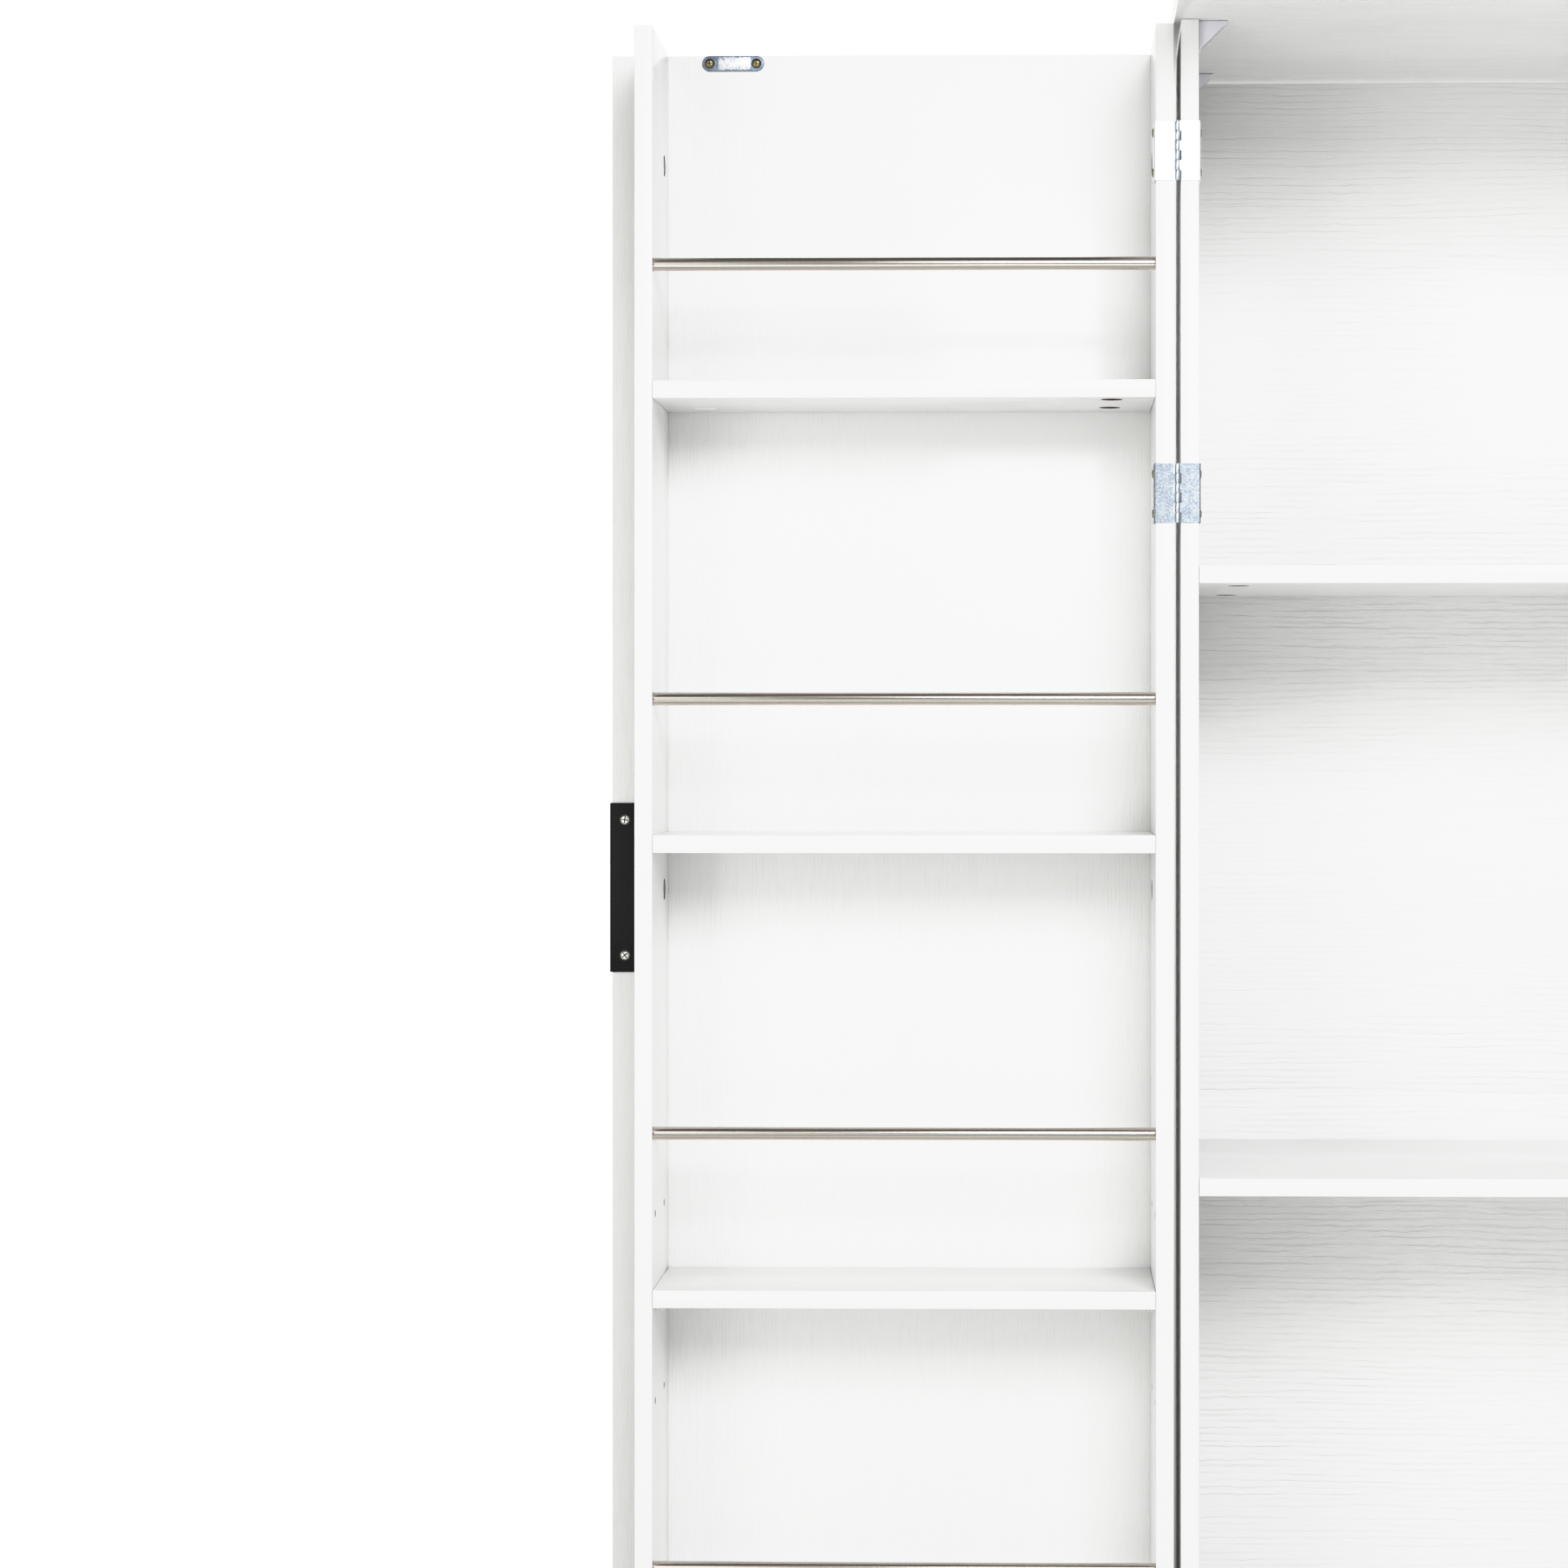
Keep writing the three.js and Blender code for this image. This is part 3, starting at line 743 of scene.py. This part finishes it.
def add_board(node, body, grain, holes=(), rear=None):
    """A laminate board in the node's box: embossed faces, smooth edge strips and bare drilled holes."""
    low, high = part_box(node)
    size = high - low
    thin = min(range(3), key=lambda i: size[i])
    across = 3 - thin - AXES.index(grain)
    rounding = min(EDGE_ROUNDING, size[thin] / 6)
    solid = cuboid(low, high, rounding)
    if holes:
        solid = combined(solid, gathered(holes), "DIFFERENCE")
    margin = rounding * 1.1
    for face in solid.faces:
        centre = face.calc_center_median()
        if all(low[i] + margin < centre[i] < high[i] - margin for i in range(3)):
            face.material_index = 2
        elif abs(face.normal[thin]) < 0.99:
            face.material_index = 1
        elif rear and face.normal[thin] > 0:
            face.material_index = 3
        else:
            face.material_index = 0
    piece = Piece(f"{node}_finished")
    piece.add(solid, laminate(grain, AXES[across]), edge_band(grain), chipboard_in_painted_shade(), rear or chipboard_in_painted_shade())
    piece.finish(body, node)


def cam(point, direction, sink):
    """A cam lock in its hole: a cross-slotted disc, sunk below the surface. Material 0."""
    top = CAM_DEPTH - sink - GAP
    disc = rounded_rod(CAM_RADIUS * 0.96, top, 0.0004)
    arm, half = CAM_RADIUS * 0.6, CAM_RADIUS * 0.1
    slots = [cuboid((-arm, -half, top - 0.002), (arm, half, top + 0.001)),
             cuboid((-half, -arm, top - 0.002), (half, arm, top + 0.001))]
    for slot in slots:
        disc = combined(disc, slot, "DIFFERENCE")
    base = Vector(point) + Vector(direction).normalized() * (CAM_DEPTH - GAP / 2)
    return moved(disc, facing(base, -Vector(direction)))


def cam_cap(point, direction):
    """A thin domed cover over a cam hole; `direction` points out of the board."""
    foot, rim = 0.00002, CAP_HEIGHT * 0.4
    dome = lathe([(0.0, foot), (CAP_RADIUS, foot), (CAP_RADIUS, rim), (CAP_RADIUS * 0.93, CAP_HEIGHT * 0.85),
                  (CAP_RADIUS * 0.6, CAP_HEIGHT), (0.0, CAP_HEIGHT)], 40)
    return moved(dome, facing(point, direction))


def add_cabinet_boards():
    """The fixed boards, and the cams under the two cabinet shelves."""
    add_board("top_board", "cabinet", "x")
    add_board("bottom_board", "cabinet", "x")
    for side in SIDES:
        add_board(f"{side}_side_panel", "cabinet", "z")
        add_board(f"plinth_{side}", "cabinet", "y")
    for sheet in ("back_panel_upper", "back_panel_lower"):
        add_board(sheet, "cabinet", "x", rear=hardboard())
    for plinth in ("plinth_front", "plinth_back"):
        add_board(plinth, "cabinet", "x")
    for shelf in ("upper_shelf", "lower_shelf"):
        low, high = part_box(shelf)
        spots = [Vector((x, low.y + row, low.z))
                 for x in (low.x + CAM_FROM_END, high.x - CAM_FROM_END)
                 for row in CABINET_SHELF_CAM_ROWS]
        add_board(shelf, "cabinet", "x", [hole(spot, (0, 0, 1), CAM_RADIUS, CAM_DEPTH) for spot in spots])
        locks = Piece(f"{shelf}_cams")
        for spot in spots:
            # The shelf cams take the near-black material: painted shade in their holes.
            locks.add(cam(spot, (0, 0, 1), SHELF_CAM_SINK), dark_metal_and_painted_shade())
        locks.finish("cabinet")


def upright_holes(side, upright, inner_x, inward):
    """Cutters for an upright's rail sockets, pin holes and cam holes, and the cams' places.

    `inward` points from the upright's inner face into the board.
    """
    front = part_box(upright)[0].y
    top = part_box(upright)[1].z
    holes = []
    for i in TIERS:
        low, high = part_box(f"{side}_door_rail_{i}")
        centre = (low + high) / 2
        spot = (inner_x, centre.y, centre.z)
        holes.append(hole(spot, inward, RAIL_SOCKET_RADIUS, RAIL_SOCKET_DEPTH))
    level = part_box(f"{side}_door_shelf_{ADJUSTABLE_SHELF}")[0].z - PIN_HOLE_RADIUS
    for row in PIN_ROWS:
        for step in (-1, 0, 1):
            spot = (inner_x, front + row, level + step * PIN_HOLE_PITCH)
            holes.append(hole(spot, inward, PIN_HOLE_RADIUS, PIN_HOLE_DEPTH, 20))
    cams = [Vector((inner_x, front + UPRIGHT_CAM_ROW, top - drop)) for drop in UPRIGHT_CAM_DROPS]
    holes += [hole(spot, inward, CAM_RADIUS, CAM_DEPTH) for spot in cams]
    return holes, cams


def add_door_boards(side, sign):
    """A door's panel, uprights and shelves, with their cams, cam caps and shelf pins."""
    body = f"{side}_door"
    add_board(f"{body}_panel", body, "z")

    locks = Piece(f"{body}_cams")
    caps = Piece(f"{body}_cam_caps")
    pins = Piece(f"{body}_shelf_pins")
    rests_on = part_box(f"{body}_shelf_{ADJUSTABLE_SHELF}")[0].z - PIN_HOLE_RADIUS
    for upright, out in (("hinge_upright", sign), ("free_upright", -sign)):
        node = f"{body}_{upright}"
        low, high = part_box(node)
        inner_x = high.x if out > 0 else low.x
        inward = Vector((-out, 0, 0))
        holes, cams = upright_holes(side, node, inner_x, inward)
        add_board(node, body, "z", holes)
        for spot in cams:
            locks.add(cam(spot, inward, UPRIGHT_CAM_SINK), galvanised(0.85))
        for row in PIN_ROWS:
            start = Vector((inner_x, low.y + row, rests_on)) + inward * (PIN_HOLE_DEPTH - GAP)
            pin = rounded_rod(PIN_RADIUS, PIN_HOLE_DEPTH - GAP + PIN_REACH, 0.0006, 20)
            pins.add(moved(pin, facing(start, -inward)), nickel_screw())

    for i in TIERS:
        node = f"{body}_shelf_{i}"
        low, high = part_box(node)
        holes = []
        if i != ADJUSTABLE_SHELF:
            hinge_end = high.x - CAM_FROM_END if sign < 0 else low.x + CAM_FROM_END
            free_end = low.x + CAM_FROM_END if sign < 0 else high.x - CAM_FROM_END
            for row in DOOR_SHELF_CAM_ROWS:
                spot = Vector((hinge_end, low.y + row, low.z))
                holes.append(hole(spot, (0, 0, 1), CAM_RADIUS, CAM_DEPTH))
                # The shelf cams take the near-black material: painted shade in their holes.
                locks.add(cam(spot, (0, 0, 1), SHELF_CAM_SINK), dark_metal_and_painted_shade())
                caps.add(cam_cap((free_end, low.y + row, low.z), (0, 0, -1)), cap_plastic())
        add_board(node, body, "x", holes)
    locks.finish(body)
    caps.finish(body)
    pins.finish(body)


def add_back_nails():
    """Small flat nail heads along the edges of the two back sheets."""
    piece = Piece("back_sheet_nails")
    for sheet in ("back_panel_upper", "back_panel_lower"):
        low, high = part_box(sheet)
        left, right = low.x + NAIL_INSET, high.x - NAIL_INSET
        bottom, top = low.z + NAIL_INSET, high.z - NAIL_INSET
        across = round((right - left) / NAIL_PITCH)
        upward = round((top - bottom) / NAIL_PITCH)
        spots = [(left + (right - left) * k / across, z) for k in range(across + 1) for z in (bottom, top)]
        levels = [bottom + (top - bottom) * k / upward for k in range(1, upward)]
        spots += [(x, level) for level in levels for x in (left, right)]
        for x, z in spots:
            head = lathe([(0.0, -SCREW_SINK), (NAIL_RADIUS, -SCREW_SINK), (NAIL_RADIUS * 0.85, 0.00012),
                          (0.0, 0.00015)], 16)
            piece.add(moved(head, facing((x, high.y, z), (0, 1, 0))), nickel_screw())
    piece.finish("cabinet")


# ---- Rails, pulls, strike plates and catches: drawn for the left door, mirrored for the right ----

def add_rail(side, i):
    """A round bar between the uprights, its ends in their sockets."""
    node = f"{side}_door_rail_{i}"
    low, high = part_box(node)
    centre = (low + high) / 2
    piece = Piece(f"{node}_finished")
    bar = rounded_rod((high.z - low.z) / 2, high.x - low.x, 0.0006, 40)
    piece.add(moved(bar, facing((low.x, centre.y, centre.z), (1, 0, 0))), brushed_nickel())
    piece.finish(f"{side}_door", node)


def add_edge_pull(side, sign):
    """A bent strip: a screwed leg on the door's inner face, round its free edge and out to a short grip."""
    node = f"{side}_door_edge_pull"
    low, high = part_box("left_door_edge_pull")
    panel_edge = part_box("left_door_panel")[0].x
    bend, inner = PULL_BEND, PULL_BEND - PULL_SHEET
    free, front, tip = low.x, low.y, high.y
    outline = [(high.x, front), *arc((free + bend, front + bend), bend, 270, 180)]
    outline += arc((free + bend, tip - bend), bend, 180, 90)
    outline += arc((panel_edge + PULL_RETURN, tip - PULL_SHEET / 2), PULL_SHEET / 2, 90, -90)
    outline += arc((free + bend, tip - bend), inner, 90, 180)
    outline += arc((free + bend, front + bend), inner, 180, 270)
    outline += [(high.x, front + PULL_SHEET)]
    strip = extruded(outline, high.z - low.z, 0.0003)
    piece = Piece(f"{node}_finished")
    piece.add(moved(strip, Matrix.Translation((0, 0, low.z))), black_powder_coat())
    middle = (low.z + high.z) / 2
    for end in (-1, 1):
        spot = (panel_edge + PULL_SCREW_INSET, front, middle + end * PULL_SCREW_SPREAD / 2)
        piece.add(painted_sink_shadow(PULL_SCREW_RADIUS * 1.2, spot, (0, -1, 0)), dark_metal_and_painted_shade())
        piece.add(screw_head(PULL_SCREW_RADIUS, spot, (0, -1, 0)), nickel_screw(), dark_metal_and_painted_shade())
    piece.finish(f"{side}_door", node, mirrored=sign > 0)


def add_strike_plate(side, sign):
    """A round-ended plate with a countersunk screw at each end."""
    node = f"{side}_door_strike_plate"
    low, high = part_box("left_door_strike_plate")
    centre = (low + high) / 2
    width, height, thick = high.x - low.x, high.z - low.z, high.y - low.y
    half = (width - height) / 2
    outline = arc((half, 0), height / 2, -90, 90, 14) + arc((-half, 0), height / 2, 90, 270, 14)
    plate = extruded(outline, thick, 0.0003)
    upright = facing((centre.x, high.y, centre.z), (0, -1, 0))
    piece = Piece(f"{node}_finished")
    piece.add(moved(plate, upright), worn_strike(abs(centre.x + WEAR_SHIFT), centre.z))
    for end in (-1, 1):
        spot = (centre.x + end * STRIKE_SCREW_SPREAD / 2, low.y, centre.z)
        piece.add(painted_sink_shadow(STRIKE_SINK_RADIUS, spot, (0, -1, 0)), dark_metal_and_painted_shade())
        piece.add(screw_head(STRIKE_SCREW_RADIUS, spot, (0, -1, 0)), yellow_zinc_screw(), dark_metal_and_painted_shade())
    piece.finish(f"{side}_door", node, mirrored=sign > 0)


def add_magnetic_catch(side, sign):
    """A plastic case with screwed ears, and in its mouth a magnet between two pole plates."""
    node = f"magnetic_catch_{side}"
    low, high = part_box("magnetic_catch_left")
    centre = (low + high) / 2
    half = CATCH_BODY_WIDTH / 2
    piece = Piece(f"{node}_finished")
    ear_level = high.z - CATCH_EAR_HEIGHT
    ears = cuboid((low.x, low.y + CATCH_EAR_SETBACK, ear_level), high, 0.0004)
    case = cuboid((centre.x - half, low.y + CATCH_BODY_SETBACK, low.z),
                  (centre.x + half, high.y, high.z), 0.0008, 3)
    piece.add(combined(case, ears, "UNION"), grey_plastic())
    reach, thick = half - CATCH_POLE_INSET, CATCH_POLE_HALF_THICKNESS
    for rise in CATCH_POLE_LEVELS:
        level = low.z + rise
        pole = cuboid((centre.x - reach, low.y, level - thick),
                      (centre.x + reach, low.y + CATCH_POLE_LENGTH, level + thick), 0.0002)
        piece.add(pole, galvanised(0.8))
    reach = half - CATCH_MAGNET_INSET
    magnet_low, magnet_high = (low.z + rise for rise in CATCH_MAGNET_LEVELS)
    magnet = cuboid((centre.x - reach, low.y + CATCH_MAGNET_SETBACK, magnet_low),
                    (centre.x + reach, low.y + CATCH_POLE_LENGTH, magnet_high), 0.0003)
    piece.add(magnet, dark_metal_and_painted_shade())
    for end in (-1, 1):
        spot = (centre.x + end * (half + CATCH_SCREW_OUTSET), centre.y + CATCH_SCREW_SHIFT, ear_level)
        piece.add(screw_head(CATCH_SCREW_RADIUS, spot, (0, 0, -1)), nickel_screw(), dark_metal_and_painted_shade())
    piece.finish("cabinet", node, mirrored=sign > 0)


# ---- Corner braces and glides ----

def add_corner_brace(side, sign, row):
    """A hollow triangular block: two legs, two cheeks, open along the slant."""
    node = f"corner_brace_{side}_{row}"
    low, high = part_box(f"corner_brace_left_{row}")
    leg, depth = high.x - low.x, high.y - low.y
    outer = extruded([(0, 0), (leg, 0), (0, leg)], depth, 0.0004, 0.0)
    reach = leg + 2 * BRACE_WALL
    hollow = extruded([(BRACE_WALL, BRACE_WALL), (reach, BRACE_WALL), (BRACE_WALL, reach)],
                      depth - 2 * BRACE_CHEEK, 0.0, 0.0)
    moved(hollow, Matrix.Translation((0, 0, BRACE_CHEEK)))
    block = combined(outer, hollow, "DIFFERENCE")
    # Local x runs away from the side panel, local y down from the top board, local z along the depth.
    turn = Matrix(((1, 0, 0, low.x), (0, 0, 1, low.y), (0, -1, 0, high.z), (0, 0, 0, 1)))
    piece = Piece(f"{node}_finished")
    piece.add(moved(block, turn), white_plastic())
    middle, along = low.y + depth / 2, leg * BRACE_SCREW_ALONG_LEG
    for spot, direction in (((low.x + BRACE_WALL, middle, high.z - along), (1, 0, 0)),
                            ((low.x + along, middle, high.z - BRACE_WALL), (0, 0, -1))):
        piece.add(screw_head(BRACE_SCREW_RADIUS, spot, direction), nickel_screw(), dark_metal_and_painted_shade())
    piece.finish("cabinet", node, mirrored=sign > 0)


def add_glide(side, row):
    """A round foot under a plinth corner, with a dimple in its sole."""
    node = f"glide_{side}_{row}"
    low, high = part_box(node)
    centre = (low + high) / 2
    radius, height = (high.x - low.x) / 2, high.z - low.z
    dimple = 0.0006
    profile = [(0.0, dimple), (radius * 0.25, dimple), (radius * 0.33, 0.0), (radius * 0.8, 0.0),
               (radius * 0.95, height * 0.25), (radius, height * 0.6), (radius * 0.97, height),
               (0.0, height)]
    piece = Piece(f"{node}_finished")
    piece.add(moved(lathe(profile, 40), Matrix.Translation((centre.x, centre.y, low.z))), grey_plastic())
    piece.finish("cabinet", node)


# ---- Hinges: each leaf wraps a board's front edge and turns in along its inner face ----

SIDE_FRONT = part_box("left_side_panel")[0].y
HINGE_AXIS_X = (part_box("left_side_panel")[0].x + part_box("left_door_hinge_upright")[1].x) / 2


def knuckle_spans(low, high, first):
    """Bottom and top of every second knuckle, counted from the top."""
    pitch = (high - low) / KNUCKLE_COUNT
    tops = [high - i * pitch for i in range(first, KNUCKLE_COUNT, 2)]
    return [(top - pitch + GAP / 2, top - GAP / 2) for top in tops]


def hinge_leaf(name, toward, side, sign):
    """One leaf drawn at the left hinge; `toward` is +1 on the cabinet and -1 on the door."""
    on_cabinet = toward > 0
    node = f"{side}_{name}_hinge_cabinet_leaf" if on_cabinet else f"{side}_door_{name}_hinge_leaf"
    low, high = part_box(f"left_door_{name}_hinge_leaf")
    bottom, top = low.z, high.z
    axis = Vector((HINGE_AXIS_X, low.y + KNUCKLE_RADIUS))
    flange_outer = HINGE_AXIS_X - low.x
    flange_inner = flange_outer - HINGE_SHEET
    plate_rear = SIDE_FRONT - GAP
    corner = (flange_inner - HINGE_BEND, plate_rear + HINGE_BEND)
    near = HINGE_PIN_RADIUS / 2
    outline = [(near, plate_rear - HINGE_SHEET)]
    outline += arc(corner, HINGE_SHEET + HINGE_BEND, 270, 360)
    rim = HINGE_SHEET / 2
    outline += [(flange_outer, high.y - 2 * HINGE_SHEET)]
    outline += arc((flange_outer - rim, high.y - rim), rim, 0, 90, 3)
    outline += [(flange_inner, high.y)]
    outline += arc(corner, HINGE_BEND, 360, 270)
    outline += [(near, plate_rear)]
    sheet = extruded(outline, top - bottom)
    moved(sheet, Matrix.Translation((0, 0, bottom)))
    own = knuckle_spans(bottom, top, 0 if on_cabinet else 1)
    other = knuckle_spans(bottom, top, 1 if on_cabinet else 0)
    for start, end in other:
        notch = cuboid((-0.001, plate_rear - 2 * HINGE_SHEET, start - GAP),
                       (KNUCKLE_NOTCH, plate_rear + HINGE_SHEET, end + GAP))
        sheet = combined(sheet, notch, "DIFFERENCE")
    for start, end in own:
        lip, ease = KNUCKLE_RADIUS - 0.0001, 0.0002
        barrel = lathe([(KNUCKLE_BORE, start), (lip, start), (KNUCKLE_RADIUS, start + ease),
                        (KNUCKLE_RADIUS, end - ease), (lip, end), (KNUCKLE_BORE, end)],
                       24, hollow=True)
        moved(barrel, Matrix.Translation((0, axis.y, 0)))
        sheet = combined(sheet, barrel, "UNION")
    piece = Piece(f"{node}_finished")
    place = Matrix.Translation((HINGE_AXIS_X, 0, 0)) @ Matrix.Scale(toward, 4, (1, 0, 0))
    # The top hinge's leaves take near-white zinc as a painted highlight; the other two hinges keep the darker
    # spangled zinc.
    zinc = painted_highlight_zinc() if name == "top" else galvanised(0.48)
    for face in sheet.faces:
        centre = face.calc_center_median()
        face.material_index = int(math.hypot(centre.x, centre.y - axis.y) < KNUCKLE_RADIUS * 1.02)
    piece.add(moved(sheet, place), zinc, burnished_zinc())
    if on_cabinet:
        pin = rounded_rod(HINGE_PIN_RADIUS, top - bottom + GAP, 0.0003, 20)
        piece.add(moved(pin, Matrix.Translation((axis.x, axis.y, bottom - GAP))), burnished_zinc())
    middle = (bottom + top) / 2
    flange_x = HINGE_AXIS_X + toward * flange_outer
    for end in (-1, 1):
        spot = (flange_x, SIDE_FRONT + HINGE_SCREW_SETBACK, middle + end * HINGE_SCREW_SPREAD / 2)
        piece.add(screw_head(HINGE_SCREW_RADIUS, spot, (toward, 0, 0)), yellow_zinc_screw(), dark_metal_and_painted_shade())
    piece.finish("cabinet" if on_cabinet else f"{side}_door", node, mirrored=sign > 0)


# ---- Stage ----

def add_floor():
    """The studio's pale floor."""
    floor = cuboid(*FLOOR_BOX, 0.004)
    mesh = bpy.data.meshes.new("floor")
    floor.to_mesh(mesh)
    floor.free()
    nodes = Nodes("pale_floor", Roughness=0.75)
    speck = nodes.speckle(nodes.place(), 240.0, 4.0, 0.6)
    nodes.colour(nodes.ramp(speck, (0.3, (0.80, 0.80, 0.80)), (0.7, (0.83, 0.83, 0.83))))
    nodes.bump(speck, 0.0001, 0.4)
    mesh.materials.append(nodes.material)
    stage = bpy.data.objects.new("floor", mesh)
    bpy.context.scene.collection.objects.link(stage)


def add_softbox(name, place, target, size, power, tint):
    light = bpy.data.lights.new(name, "AREA")
    light.shape = "RECTANGLE"
    light.size, light.size_y = size
    light.energy = power
    light.color = tint
    box = bpy.data.objects.new(name, light)
    box.location = place
    box.rotation_euler = (Vector(target) - Vector(place)).to_track_quat("-Z", "Y").to_euler()
    bpy.context.scene.collection.objects.link(box)


def set_world():
    """A white backdrop to the camera. As a light it glows behind the cabinet and is softer elsewhere."""
    world = bpy.data.worlds.new("studio")
    world.use_nodes = True
    nodes = Tree(world.node_tree)
    toward = nodes.parts(nodes.add("ShaderNodeTexCoord").outputs["Generated"])
    levels = [((rise + 1) / 2, (light,) * 3) for rise, light in ROOM_LIGHT]
    room = nodes.ramp(nodes.span(toward[2], -1.0, 1.0), *levels)
    behind = nodes.span(toward[1], *REAR_SPREAD, 0.0, REAR_LIGHT)
    glow = nodes.math("MULTIPLY", behind, nodes.span(toward[2], *REAR_FADE))
    to_camera = nodes.add("ShaderNodeLightPath").outputs["Is Camera Ray"]
    light = nodes.math("ADD", room, glow)
    background = world.node_tree.nodes["Background"]
    nodes.put(background.inputs["Color"], (*WARM, 1.0))
    nodes.put(background.inputs["Strength"], nodes.mix(to_camera, light, BACKDROP / min(WARM), "Float"))
    bpy.context.scene.world = world


def set_tone_curve():
    """Holds the brightest boards just under the backdrop's white, with a soft shoulder below them."""
    view = bpy.context.scene.view_settings
    view.view_transform = "Standard"
    view.use_curve_mapping = True
    curve = view.curve_mapping
    curve.white_level = (BACKDROP, BACKDROP, BACKDROP)
    points = curve.curves[3].points
    stops = [(0.0, 0.0), (LINEAR_LIMIT / 2, LINEAR_LIMIT / 2)]
    for k in range(SHOULDER_STOPS):
        light = LINEAR_LIMIT + (BACKDROP - LINEAR_LIMIT) * (k / SHOULDER_STOPS) ** 1.5
        rise = 1 - math.exp((LINEAR_LIMIT - light) / SHOULDER_WIDTH)
        stops.append((light, LINEAR_LIMIT + (BRIGHTEST_BOARD - LINEAR_LIMIT) * rise))
    stops.append((BACKDROP, 1.0))
    while len(points) < len(stops):
        points.new(0.5, 0.5)
    for point, (light, shown) in zip(points, stops):
        point.location = (light / BACKDROP, shown)
    curve.update()


def add_camera():
    camera = bpy.data.cameras.new("camera")
    camera.sensor_width = 36.0
    camera.lens = CAMERA_LENS
    camera.shift_x, camera.shift_y = CAMERA_SHIFT
    eye = bpy.data.objects.new("camera", camera)
    eye.location = CAMERA_PLACE
    eye.rotation_euler = (math.radians(90), 0.0, math.radians(CAMERA_YAW))
    bpy.context.scene.collection.objects.link(eye)
    bpy.context.scene.camera = eye


set_tone_curve()
set_world()
add_camera()
add_floor()
add_softbox("key", (0.35, -3.2, 2.05), (-0.3, 0.1, 0.75), (1.5, 1.0), 73.0, COOL)
add_softbox("top", (0.1, -2.9, 2.45), (-0.2, 0.0, 0.75), (1.2, 0.8), 13.0, COOL)
add_softbox("low", (-0.8, -2.5, 0.12), (-0.3, 0.0, 0.85), (2.4, 0.8), 14.3, WARM)
add_softbox("left", (-2.0, -2.8, 1.3), (-0.3, 0.0, 0.75), (1.2, 1.8), 22.0, WARM)

add_cabinet_boards()
add_back_nails()
for side, sign in SIDES.items():
    add_door_boards(side, sign)
    for i in TIERS:
        add_rail(side, i)
    add_edge_pull(side, sign)
    add_strike_plate(side, sign)
    add_magnetic_catch(side, sign)
    for row in ("front", "rear"):
        add_corner_brace(side, sign, row)
        add_glide(side, row)
    for name in ("top", "second", "bottom"):
        for toward in (1, -1):
            hinge_leaf(name, toward, side, sign)
